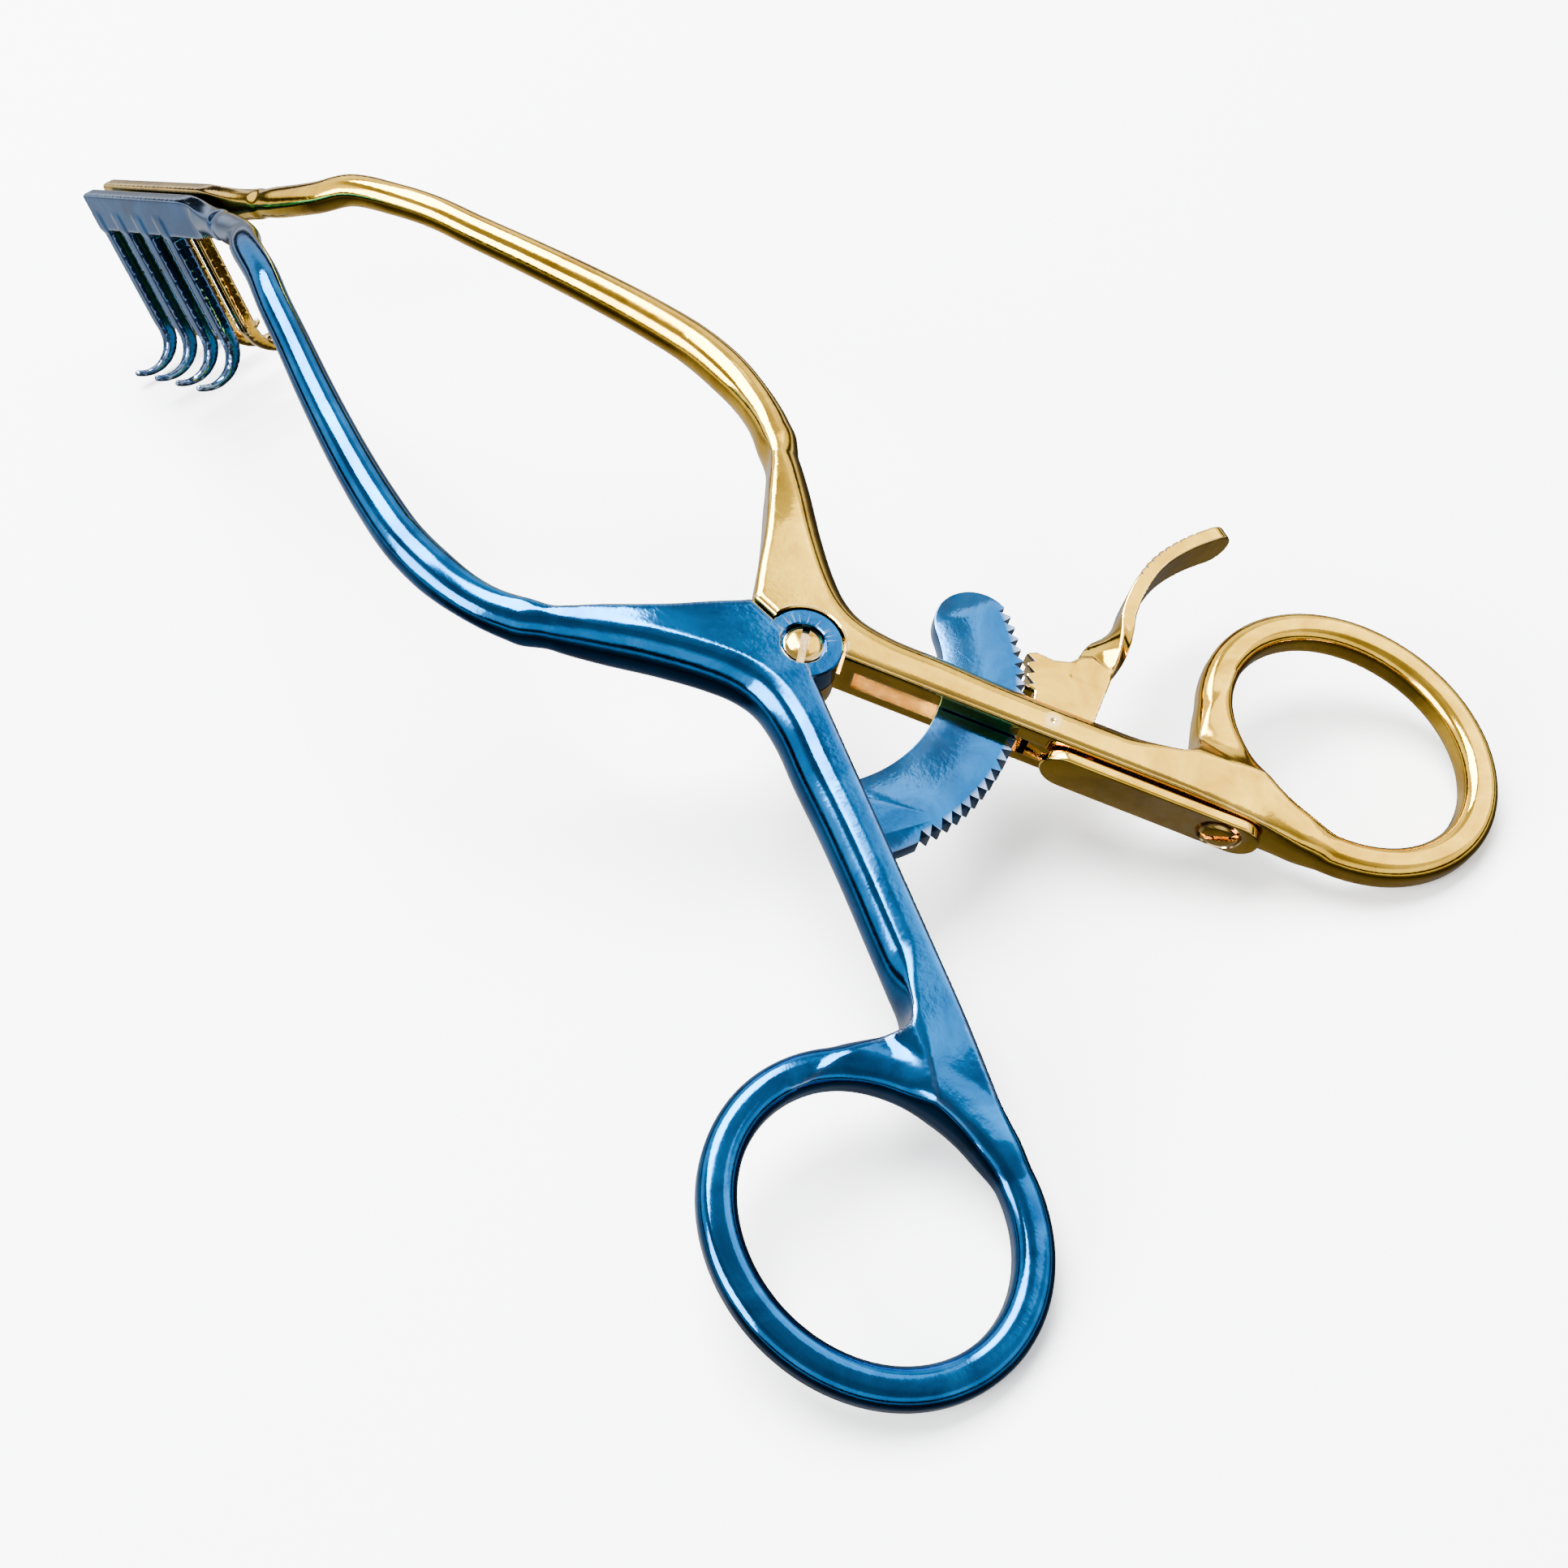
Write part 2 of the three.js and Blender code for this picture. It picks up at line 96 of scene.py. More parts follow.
class RatchetSizes(bpy.types.PropertyGroup):
    inner: length("Inner radius", "Inner edge of the ratchet bar", 16.0)
    root: length("Root radius", "Bottom of the ratchet teeth", 24.0)
    tip: length("Tip radius", "Top of the ratchet teeth", 25.2)
    low: length("Underside", "Underside of the bar, from the arms' middle", -1.45)
    high: length("Top", "Top of the bar, from the arms' middle", 0.85)
    teeth: bpy.props.IntProperty(name="Teeth", description="Teeth along the bar", default=24)
    pitch: angle("Tooth pitch", "Angle from one tooth to the next", 3.37)
    start: angle("First tooth", "Where the teeth begin, clockwise from +X", -26.0)


class LeverSizes(bpy.types.PropertyGroup):
    thick: length("Strap thickness", "Thickness of the upright strap", 1.8)
    low: length("Strap underside", "Lower edge of the strap, from the arms' middle", -2.8)
    high: length("Strap top", "Upper edge of the strap, from the arms' middle", 2.2)
    grooves: bpy.props.IntProperty(name="Grooves", description="Grip grooves across the pad", default=9)


class FinishColours(bpy.types.PropertyGroup):
    blue: colour("Blue coating", "Body colour of the blue coating", "#115f98")
    blue_deep: colour("Deep blue", "Where the blue coating is thicker", "#083d6b")
    gold: colour("Gold coating", "Body colour of the gold coating", "#e6b93c")
    gold_deep: colour("Deep gold", "Where the gold coating is thicker", "#b38720")
    floor: colour("Floor", "Plain pale floor", "#f4f5f6")


def settings():
    return bpy.context.scene.retractor


# ---- outlines and routes of the arms, right side, millimetres ----
HANDLE_ANGLE = 0.421
SHANK_INNER = 0.35
INNER_EDGE = [(20.3, 42.0), (20.3, 35.0), (20.0, 31.0), (18.9, 26.4), (16.4, 21.7), (12.1, 17.4),
              (7.4, 13.3), (3.6, 10.5), (0.9, 8.4)]
OUTER_EDGE = [(24.8, 42.0), (24.8, 35.0), (24.6, 30.6), (23.5, 26.2), (21.4, 22.0), (19.0, 18.2),
              (16.3, 14.0), (12.9, 9.0), (10.2, 4.4), (8.9, 1.4), (8.5, -1.4), (9.4, -5.4), (11.6, -10.6),
              (13.9, -16.5), (16.5, -22.6), (19.4, -29.0), (21.4, -33.6), (22.3, -36.4), (23.4, -37.2),
              (25.4, -36.2), (29.0, -34.2), (33.0, -33.4), (39.0, -32.2), (47.0, -35.0), (54.0, -40.0)]
CORNER_Y = 82.8                        # where the end starts to go down
DROP = 0.625                           # how steeply it does
END_LENGTH = 66.8                      # from there to the tip, along the slope
BAR_PLAN = [(19.6, 23.5), (21.0, 26.5), (22.0, 30.0), (22.5, 34.0), (22.4, 39.5), (21.3, 45.5),
            (19.6, 52.2), (16.9, 61.0), (14.0, 69.5), (12.1, 75.2)]
BAR_BEND = (10.1, 80.2, -0.6)
BAR_END = [(8.0, 4.2), (5.6, 9.5), (3.3, 19.5), (2.3, 28.0)]
RAKE_HALF = 1.15                       # half the rake plate's thickness
TINES = 4
TINE_HALF = 1.25
TINE_STRAIGHT = 18.8
TINE_SWEEP = 1.9
ARM_BOX = ((-0.93, -68.1, -64.1), (57, 141, 6))


def shank_point(s, t):
    """A point s down the right shank and t out from the line through the pivot."""
    return (s * math.sin(HANDLE_ANGLE) + t * math.cos(HANDLE_ANGLE),
            -s * math.cos(HANDLE_ANGLE) + t * math.sin(HANDLE_ANGLE))


def smooth_line(points, spacing=0.6):
    """A centripetal Catmull-Rom curve through the points, as an array of close points."""
    p = np.array(points, float)
    p = np.vstack([2 * p[0] - p[1], p, 2 * p[-1] - p[-2]])
    out = []
    for a, b, c, d in zip(p, p[1:], p[2:], p[3:]):
        t1 = np.linalg.norm(b - a) ** 0.5
        t2 = t1 + np.linalg.norm(c - b) ** 0.5
        t3 = t2 + np.linalg.norm(d - c) ** 0.5
        count = max(2, int(np.linalg.norm(c - b) / spacing))
        t = np.linspace(t1, t2, count, endpoint=False)[:, None]
        ab = a + (b - a) * t / t1
        bc = b + (c - b) * (t - t1) / (t2 - t1)
        cd = c + (d - c) * (t - t2) / (t3 - t2)
        abc = ab + (bc - ab) * t / t2
        bcd = bc + (cd - bc) * (t - t1) / (t3 - t1)
        out.append(abc + (bcd - abc) * (t - t1) / (t2 - t1))
    out.append(p[-2][None])
    return np.vstack(out)


def travel_along(line):
    """How far along the line each of its points lies."""
    return np.r_[0, np.cumsum(np.linalg.norm(np.diff(line, axis=0), axis=1))]


# ---- distance fields: negative inside, millimetres ----
def segment_distance(points, line, reach=9.0, block=6000):
    """Distance to a line that climbs or falls in y, and the nearest place on it as segment + fraction.
    Each block of points looks only at the segments within reach of its own y."""
    near = np.empty(len(points))
    where = np.empty(len(points))
    order = np.argsort(points[:, 1])
    start = line[:-1]
    step = line[1:] - start
    size = (step * step).sum(1)
    lows = np.minimum(line[:-1, 1], line[1:, 1])
    highs = np.maximum(line[:-1, 1], line[1:, 1])
    for first in range(0, len(points), block):
        rows = order[first:first + block]
        y0, y1 = points[rows[0], 1], points[rows[-1], 1]
        away = np.maximum(np.maximum(lows - y1, y0 - highs), 0)
        use = np.nonzero(away <= max(reach, away.min() + 0.01))[0]
        gap = points[rows, None, :] - start[use][None]
        t = np.clip(np.einsum("ijk,jk->ij", gap, step[use]) / size[use], 0, 1)
        gap -= t[..., None] * step[use]
        d = np.einsum("ijk,ijk->ij", gap, gap)
        best = d.argmin(1)
        each = np.arange(len(rows))
        near[rows] = np.sqrt(d[each, best])
        where[rows] = use[best] + t[each, best]
    return near, where


def side_distance(points, line):
    """Signed distance to an open line: positive on the left of its direction."""
    near, where = segment_distance(points, line)
    index = np.minimum(where.astype(int), len(line) - 2)
    a = line[index]
    d = line[index + 1] - a
    q = points - a
    return near * np.sign(d[:, 0] * q[:, 1] - d[:, 1] * q[:, 0])


def round_and(a, b, radius):
    """The inside of both, with the edge between them rounded."""
    outside = np.hypot(np.maximum(a + radius, 0), np.maximum(b + radius, 0))
    return np.minimum(-radius, np.maximum(a, b)) + outside


def round_or(a, b, radius):
    """The inside of either, with the corner between them filleted."""
    inside = np.hypot(np.maximum(radius - a, 0), np.maximum(radius - b, 0))
    return np.maximum(radius, np.minimum(a, b)) - inside


def ease(low, high, x):
    t = np.clip((x - low) / (high - low), 0, 1)
    return t * t * (3 - 2 * t)


def rounded_box(x, y, half_x, half_y, radius):
    qx = np.abs(x) - half_x + radius
    qy = np.abs(y) - half_y + radius
    return np.hypot(np.maximum(qx, 0), np.maximum(qy, 0)) + np.minimum(np.maximum(qx, qy), 0) - radius


FAR = 9.0


class ArmField:
    """The plain right arm, before its joint, slot and holes are cut."""

    def __init__(self, sizes):
        self.half = sizes.half / MM
        self.bar = (sizes.bar_root / MM, sizes.bar_tip / MM)
        self.ring = [v / MM for v in (sizes.ring_x, sizes.ring_y, sizes.ring_wide, sizes.ring_long,
                                      sizes.ring_band, sizes.ring_half)]
        self.rake_x = sizes.rake_x / MM
        self.pitch = sizes.tine_pitch / MM
        self.hook = sizes.hook / MM
        self.inner = np.vstack([smooth_line(INNER_EDGE + [(0.15, 7.9)]), [0.15, -80]])
        self.shank = np.array([shank_point(-8, SHANK_INNER), shank_point(70, SHANK_INNER)])
        self.outer = smooth_line(OUTER_EDGE)
        self.down = np.array([0, math.cos(DROP), -math.sin(DROP)])
        self.across = np.array([0, -math.sin(DROP), -math.cos(DROP)])
        self.corner = np.array([0, CORNER_Y, 0])
        plan = [(x, y, 0.0) for x, y in BAR_PLAN]
        end = [tuple(np.array([x, 0, 0]) + self.corner + self.down * w) for x, w in BAR_END]
        self.route = smooth_line(plan + [BAR_BEND] + end, 0.7)
        self.travel = travel_along(self.route)

    def body(self, p):
        """Root of the jaw and shank: flat faces, a tight inner edge, a full outer side."""
        plan = p[:, :2]
        y = p[:, 1]
        out = p[:, 0] * math.cos(HANDLE_ANGLE) + y * math.sin(HANDLE_ANGLE)
        web = ease(5.0, 9.0, out) * ease(-30, -37, y)
        half = self.half - 1.5 * ease(12, 33, y) - 1.65 * np.maximum(ease(-38, -56, y), web)
        inside = np.maximum(-side_distance(plan, self.inner), -side_distance(plan, self.shank))
        high = half * 1.17
        z = np.clip(np.abs(p[:, 2]) / high, 0, 0.97)
        full = 5.4 * (1 - ease(-31, -38, y))
        bulge = full * (1 - np.sqrt(1 - z * z))
        slope = full * z / (np.sqrt(1 - z * z) * high)
        outside = (side_distance(plan, self.outer) + bulge) / np.hypot(1, slope)
        flat = np.abs(p[:, 2]) - half
        d = round_and(outside, flat, 0.35)
        d = round_and(d, inside, 0.7)
        d = d + 2.6 * ease(17, 36, y)
        d = np.where(y < -28, round_and(d, -self.ring_across(p) - self.ring[4], 0.8), d)
        run = p[:, 0] * math.sin(HANDLE_ANGLE) - p[:, 1] * math.cos(HANDLE_ANGLE)
        d = np.where(y < -28, d + 1.6 * ease(26, 35, p[:, 0]), d)
        return round_and(d, run - 62, 5.0)

    def ring_across(self, p):
        """Distance out from the middle line of the finger ring, in plan."""
        cx, cy, a, b = self.ring[:4]
        x, y = (p[:, 0] - cx) / a, (p[:, 1] - cy) / b
        g = np.sqrt(x * x + y * y) + 1e-9
        return (g - 1) * g / np.hypot(x / a, y / b)

    def jaw_bar(self, p):
        near, where = segment_distance(p, self.route)
        index = np.minimum(where.astype(int), len(self.travel) - 2)
        along = self.travel[index] + (where - index) * (self.travel[index + 1] - self.travel[index])
        end = self.travel[-1]
        thin = ease(8, end - 30, along)
        slim = 0.9 * (1 - ease(0, 12, along)) + 0.9 * ease(end - 12, end, along)
        return near - (self.bar[0] + (self.bar[1] - self.bar[0]) * thin - slim)

    def ring_band(self, p):
        return rounded_box(self.ring_across(p), p[:, 2], *self.ring[4:], 1.5)

    def end_frame(self, p):
        q = p - self.corner
        return p[:, 0], q @ self.down, q @ self.across

    def rake(self, p):
        x, w, v = self.end_frame(p)
        tall = 1.2 + 1.6 * ease(20, 33, w)
        middle = self.rake_x + 1.5 * (1 - ease(18, 32, w))
        section = rounded_box(x - middle, v, RAKE_HALF, tall, 0.55)
        return round_and(section, np.maximum(20.5 - w, w - END_LENGTH), 0.6)

    def tine(self, p, place):
        x, w, v = self.end_frame(p)
        w = w - place
        cx = self.rake_x + self.hook
        turn = np.arctan2(v - TINE_STRAIGHT, cx - x)
        bent = v > TINE_STRAIGHT
        radial = self.hook - np.hypot(x - cx, v - TINE_STRAIGHT)
        side = np.where(bent, radial, x - self.rake_x)
        run = np.where(bent, TINE_STRAIGHT + self.hook * turn, v)
        full = TINE_STRAIGHT + self.hook * (TINE_SWEEP + 0.35)
        point = ease(TINE_STRAIGHT - 2, full, run)
        wide = 1.22 - 0.72 * point
        thick = 1.02 - 0.55 * point
        section = rounded_box(w, side, wide, thick, 0.42)
        return round_and(section, np.maximum(-run, run - full), 0.45)

    def __call__(self, p):
        """p holds points in millimetres, one a row."""
        d = np.full(len(p), FAR)
        y = p[:, 1]
        for part, use, fillet in (
            (self.body, (y < 40) & (p[:, 0] < 36) & (np.abs(p[:, 2]) < 12), 0.01),
            (self.ring_band, y < -24, 1.6),
            (self.jaw_bar, y > 8, 3.0),
            (self.rake, y > 92, 1.6),
        ):
            rows = np.nonzero(use)[0]
            if len(rows):
                d[rows] = round_or(d[rows], part(p[rows]), fillet)
        rows = np.nonzero(y > 85)[0]
        if len(rows):
            for i in range(TINES):
                place = END_LENGTH - 0.7 - TINE_HALF - i * self.pitch
                d[rows] = round_or(d[rows], self.tine(p[rows], place), 0.7)
        return d


# ---- from a field to a mesh ----
def surface_of(field, low, high, step, coarse=5):
    """Surface nets over the cells that the field's zero passes through, then pulled onto the field."""
    low = np.array(low, float)
    big = step * coarse
    count = np.ceil((np.array(high) - low) / big).astype(int)
    corner = np.stack(np.meshgrid(*[np.arange(n) for n in count], indexing="ij"), -1).reshape(-1, 3)
    middle = low + (corner + 0.5) * big
    corner = corner[np.abs(field(middle)) < big * 1.05]
    offsets = np.stack(np.meshgrid(*[np.arange(coarse + 1)] * 3, indexing="ij"), -1).reshape(-1, 3)
    node = corner[:, None] * coarse + offsets[None]
    value = [field(low + part.reshape(-1, 3) * step) for part in np.array_split(node, 24)]
    value = np.concatenate(value)
    value = value.reshape(len(corner), coarse + 1, coarse + 1, coarse + 1)
    inside = value < 0

    def at(array, i, j, k):
        return array[:, i:i + coarse, j:j + coarse, k:k + coarse]

    cube = [(i, j, k) for i in (0, 1) for j in (0, 1) for k in (0, 1)]
    filled = sum(at(inside, *c).astype(int) for c in cube)
    active = (filled > 0) & (filled < 8)
    total = np.zeros(active.shape + (3,))
    hits = np.zeros(active.shape)
    for a in cube:
        for axis in range(3):
            if a[axis]:
                continue
            b = list(a)
            b[axis] = 1
            va, vb = at(value, *a), at(value, *b)
            cross = (va < 0) != (vb < 0)
            t = np.where(cross, va / np.where(cross, va - vb, 1), 0)
            place = np.zeros(active.shape + (3,))
            place[..., :] = a
            place[..., axis] += t
            total += place * cross[..., None]
            hits += cross
    size = (count * coarse + 2).astype(np.int64)
    base = node.reshape(len(corner), coarse + 1, coarse + 1, coarse + 1, 3)
    cell = at(base, 0, 0, 0)

    def key(c):
        return (c[..., 0] * size[1] + c[..., 1]) * size[2] + c[..., 2]

    where = cell[active]
    points = low + (where + total[active] / hits[active][:, None]) * step
    keys = key(where)
    order = np.argsort(keys)
    keys, points = keys[order], points[order]
    faces = []
    for axis in range(3):
        b = [0, 0, 0]
        b[axis] = 1
        va, vb = at(inside, 0, 0, 0), at(inside, *b)
        cross = va != vb
        edge = cell[cross]
        flip = vb[cross]
        u, v = (axis + 1) % 3, (axis + 2) % 3
        quad = []
        for du, dv in ((1, 1), (0, 1), (0, 0), (1, 0)):
            c = edge.copy()
            c[:, u] -= du
            c[:, v] -= dv
            quad.append(np.searchsorted(keys, key(c)))
        quad = np.stack(quad, 1)
        quad[flip] = quad[flip][:, ::-1]
        faces.append(quad)
    faces = np.vstack(faces)
    tiny = 0.02
    for _ in range(4):
        d = field(points)
        rise = [field(points + tiny * e) - field(points - tiny * e) for e in np.eye(3)]
        slope = np.stack(rise, 1) / (2 * tiny)
        slope /= np.maximum((slope ** 2).sum(1), 0.2)[:, None]
        points = points - np.clip(d, -0.3, 0.3)[:, None] * slope
    return points, faces


def linked(name, data):
    """A new object in the scene that holds data."""
    obj = bpy.data.objects.new(name, data)
    bpy.context.collection.objects.link(obj)
    return obj


def mesh_object(name, points, faces):
    """A mesh object from points in metres."""
    mesh = bpy.data.meshes.new(name)
    mesh.from_pydata([tuple(p) for p in points], [], [tuple(f) for f in faces])
    return linked(name, mesh)


def from_bmesh(name, bm):
    mesh = bpy.data.meshes.new(name)
    bmesh.ops.recalc_face_normals(bm, faces=bm.faces[:])
    bm.to_mesh(mesh)
    bm.free()
    return linked(name, mesh)


def slab(name, outline, low, high, bevel=0.0, segments=3):
    """A closed plate from a plan outline in metres, with its two rims rounded."""
    bm = bmesh.new()
    verts = [bm.verts.new((x, y, low)) for x, y in outline]
    bottom = bm.faces.new(verts)
    raised = bmesh.ops.extrude_face_region(bm, geom=[bottom])
    top = [v for v in raised["geom"] if isinstance(v, bmesh.types.BMVert)]
    bmesh.ops.translate(bm, verts=top, vec=(0, 0, high - low))
    bmesh.ops.recalc_face_normals(bm, faces=bm.faces[:])
    if bevel:
        rims = [e for e in bm.edges if abs(e.verts[0].co.z - e.verts[1].co.z) < 1e-9]
        bmesh.ops.bevel(bm, geom=rims, offset=bevel, segments=segments, profile=0.5, affect="EDGES",
                        clamp_overlap=True)
    return from_bmesh(name, bm)


def turned(name, profile, sides=96):
    """A closed turned part: profile is (radius, height) from the axis round to the axis, in metres."""
    bm = bmesh.new()
    rings = []
    for radius, z in profile:
        if radius == 0:
            rings.append([bm.verts.new((0, 0, z))])
            continue
        turn = [2 * math.pi * i / sides for i in range(sides)]
        rings.append([bm.verts.new((radius * math.cos(a), radius * math.sin(a), z)) for a in turn])
    for one, two in zip(rings, rings[1:]):
        for i in range(sides):
            j = (i + 1) % sides
            corners = [one[i % len(one)], one[j % len(one)], two[j % len(two)], two[i % len(two)]]
            unique = list(dict.fromkeys(corners))
            if len(unique) > 2:
                bm.faces.new(unique)
    return from_bmesh(name, bm)


def box(name, low, high):
    """A plain closed block, used only to cut with."""
    bm = bmesh.new()
    bmesh.ops.create_cube(bm, size=1.0)
    for v in bm.verts:
        v.co = [lo + (hi - lo) * (c + 0.5) for c, lo, hi in zip(v.co, low, high)]
    return from_bmesh(name, bm)


def final_mesh(obj):
    """Swaps the object's mesh for its evaluated one and drops its modifiers."""
    depsgraph = bpy.context.evaluated_depsgraph_get()
    mesh = bpy.data.meshes.new_from_object(obj.evaluated_get(depsgraph))
    obj.modifiers.clear()
    old = obj.data
    obj.data = mesh
    bpy.data.meshes.remove(old)
    return obj


def boolean(obj, operation, *tools):
    """Cuts or joins obj with each tool, which is used up."""
    for tool in tools:
        modifier = obj.modifiers.new("cut", "BOOLEAN")
        modifier.operation = operation
        modifier.solver = "EXACT"
        modifier.object = tool
        final_mesh(obj)
        bpy.data.objects.remove(tool)
    return obj


def lay_in_place(obj, sharp=32):
    """Moves a shape from the tool's own frame into the model's, and shades it."""
    obj.data.transform(PLACE)
    obj.data.update()
    obj.data.shade_smooth()
    obj.data.set_sharp_from_angle(angle=math.radians(sharp))
    return obj


def arc(radius, start, end, count, centre=(0, 0)):
    """Points on an arc; angles in radians, both ends included."""
    turn = [start + (end - start) * i / (count - 1) for i in range(count)]
    return [(centre[0] + radius * math.cos(a), centre[1] + radius * math.sin(a)) for a in turn]


# ---- Geometry Nodes: notches set out along an arc ----
def notch_tree(title):
    """Cuts one tool, repeated along an arc about a centre, out of the piece."""
    tree = bpy.data.node_groups.new(title, "GeometryNodeTree")
    face = tree.interface
    inputs = {"Geometry": "Geometry", "Tool": "Object", "Count": "Int", "Centre": "Vector",
              "Radius": "Float", "Start": "Float", "Pitch": "Float", "Material": "Material"}
    for name, kind in inputs.items():
        face.new_socket(name, in_out="INPUT", socket_type="NodeSocket" + kind)
    face.new_socket("Geometry", in_out="OUTPUT", socket_type="NodeSocketGeometry")
    given = node(tree, "NodeGroupInput")
    index = node(tree, "GeometryNodeInputIndex")
    turn = multiply_add(tree, index, given.outputs["Pitch"], given.outputs["Start"])
    spin = node(tree, "ShaderNodeCombineXYZ", {}, {"Z": turn})
    out = node(tree, "ShaderNodeCombineXYZ", {}, {"X": given.outputs["Radius"]})
    swung = node(tree, "ShaderNodeVectorRotate", {"rotation_type": "EULER_XYZ"},
                 {"Vector": out, "Rotation": spin})
    place = node(tree, "ShaderNodeVectorMath", {"operation": "ADD"}, [swung, given.outputs["Centre"]])
    points = node(tree, "GeometryNodePoints", {}, {"Count": given.outputs["Count"], "Position": place})
    tool = node(tree, "GeometryNodeObjectInfo", {}, {"Object": given.outputs["Tool"]})
    copies = node(tree, "GeometryNodeInstanceOnPoints", {},
                  {"Points": points, "Instance": tool.outputs["Geometry"], "Rotation": spin})
    real = node(tree, "GeometryNodeRealizeInstances", {}, [copies])
    cut = node(tree, "GeometryNodeMeshBoolean", {"operation": "DIFFERENCE", "solver": "EXACT"},
               {"Mesh 1": given.outputs["Geometry"], "Mesh 2": real})
    whole = node(tree, "GeometryNodeRealizeInstances", {}, [cut])
    coat = node(tree, "GeometryNodeSetMaterial", {},
                {"Geometry": whole, "Material": given.outputs["Material"]})
    node(tree, "NodeGroupOutput", {}, [coat])
    return tree


def notch(obj, tool, material, **values):
    """Runs the notch tree on obj; each value goes to the input of that name."""
    tree = bpy.data.node_groups.get("notches along an arc") or notch_tree("notches along an arc")
    modifier = obj.modifiers.new("notches", "NODES")
    modifier.node_group = tree
    values = {"Tool": tool, "Material": material, **{k.title(): v for k, v in values.items()}}
    for item in tree.interface.items_tree:
        if item.in_out == "INPUT" and item.name in values:
            modifier[item.identifier] = values[item.name]
    final_mesh(obj)
    bpy.data.objects.remove(tool)
    return obj


# ---- materials ----
def linear(hexadecimal):
    """An sRGB hex colour as linear RGBA."""
    parts = [int(hexadecimal[i:i + 2], 16) / 255 for i in (1, 3, 5)]
    return [c / 12.92 if c <= 0.04045 else ((c + 0.055) / 1.055) ** 2.4 for c in parts] + [1.0]


def output(source):
    """The socket to link from: a node stands for its first output."""
    return getattr(source, "outputs", [source])[0]


def node(tree, kind, values=None, links=None):
    """Adds a node, sets its settings or input values by name, and links its inputs."""
    made = tree.nodes.new(kind)
    for name, value in (values or {}).items():
        if name in made.inputs and not hasattr(made, name):
            made.inputs[name].default_value = value
        else:
            setattr(made, name, value)
    pairs = links.items() if isinstance(links, dict) else enumerate(links or [])
    for socket, source in pairs:
        tree.links.new(output(source), made.inputs[socket])
    return made


def multiply_add(tree, value, factor, extra):
    """value * factor + extra; the last two may be sockets or plain numbers."""
    made = node(tree, "ShaderNodeMath", {"operation": "MULTIPLY_ADD"}, [value])
    for socket, given in zip(made.inputs[1:], (factor, extra)):
        if isinstance(given, (int, float)):
            socket.default_value = given
        else:
            tree.links.new(output(given), socket)
    return made


def ramp(tree, source, *stops):
    """A colour ramp from (place, colour) stops."""
    made = node(tree, "ShaderNodeValToRGB", {}, [source])
    elements = made.color_ramp.elements
    while len(elements) < len(stops):
        elements.new(0.5)
    for element, (place, value) in zip(elements, stops):
        element.position = place
        element.color = value if isinstance(value, (list, tuple)) else (value, value, value, 1)
    return made


def noise(tree, place, size, **values):
    """Cloudy noise whose largest features are about size across."""
    return node(tree, "ShaderNodeTexNoise", {"Scale": 1 / size, **values}, [place])


def coated_steel(name, body, deep, polish=0.09):
    """Stainless steel, mirror buffed, then given a thin hard plasma coating. The eye sees a clear
    mirror in one colour, a slow drift of coating thickness, faint wiping scratches, fine pits, and
    a paler line where handling has thinned the coating on the edges."""
    material = bpy.data.materials.new(name)
    material.use_nodes = True
    tree = material.node_tree
    tree.nodes.clear()
    place = node(tree, "ShaderNodeTexCoord").outputs["Object"]
    cloud = noise(tree, place, 9 * MM, Detail=5.0, Roughness=0.6, Distortion=1.2)
    drift = ramp(tree, cloud, (0.3, linear(deep)), (0.66, linear(body)))
    worn = node(tree, "ShaderNodeAttribute", {"attribute_name": "edge"})
    rub = noise(tree, place, 1.5 * MM, Detail=3.0)
    wear = node(tree, "ShaderNodeMath", {"operation": "MULTIPLY"}, [worn.outputs["Fac"], rub])
    bare = node(tree, "ShaderNodeMix", {"data_type": "RGBA"}, {0: wear, 6: drift})
    bare.inputs[7].default_value = [0.55 + 0.45 * c for c in linear(body)]
    grain = (1 / (0.25 * MM), 1 / (6 * MM), 1 / (1 * MM))
    stretch = node(tree, "ShaderNodeMapping", {"Rotation": (0, 0, 0.5), "Scale": grain}, [place])
    scratch = noise(tree, stretch, 1.0, Detail=4.0, Roughness=0.7)
    line = ramp(tree, scratch, (0.60, 0.0), (0.72, 1.0))
    smear = noise(tree, place, 14 * MM, Detail=3.0)
    gloss = node(tree, "ShaderNodeMapRange", {"From Min": 0.3, "From Max": 0.75, "To Min": polish * 0.6,
                                              "To Max": polish * 2.0}, [smear])
    pits = noise(tree, place, 0.6 * MM, Detail=2.0)
    rough = multiply_add(tree, line, 0.08, gloss)
    relief = multiply_add(tree, cloud, 3.0, pits)
    bump = node(tree, "ShaderNodeBump", {"Strength": 0.05, "Distance": 0.15 * MM}, {"Height": relief})
    shader = node(tree, "ShaderNodeBsdfPrincipled", {"Metallic": 1.0},
                  {"Base Color": bare.outputs[2], "Roughness": rough, "Normal": bump})
    node(tree, "ShaderNodeOutputMaterial", {}, [shader])
    return material


def finish_named(which):
    """The blue or the gold finish, made once."""
    colours = settings().finish
    name = which + " plasma coated mirror steel"
    made = bpy.data.materials.get(name)
    return made or coated_steel(name, getattr(colours, which), getattr(colours, which + "_deep"))


FINE_EDGE = 1.2                        # only where every edge is shorter than this
WEAR_FROM = 0.2                        # turn of the surface, in radians, at which wear begins
WEAR_SPAN = 0.9                        # and how much more brings it to the full


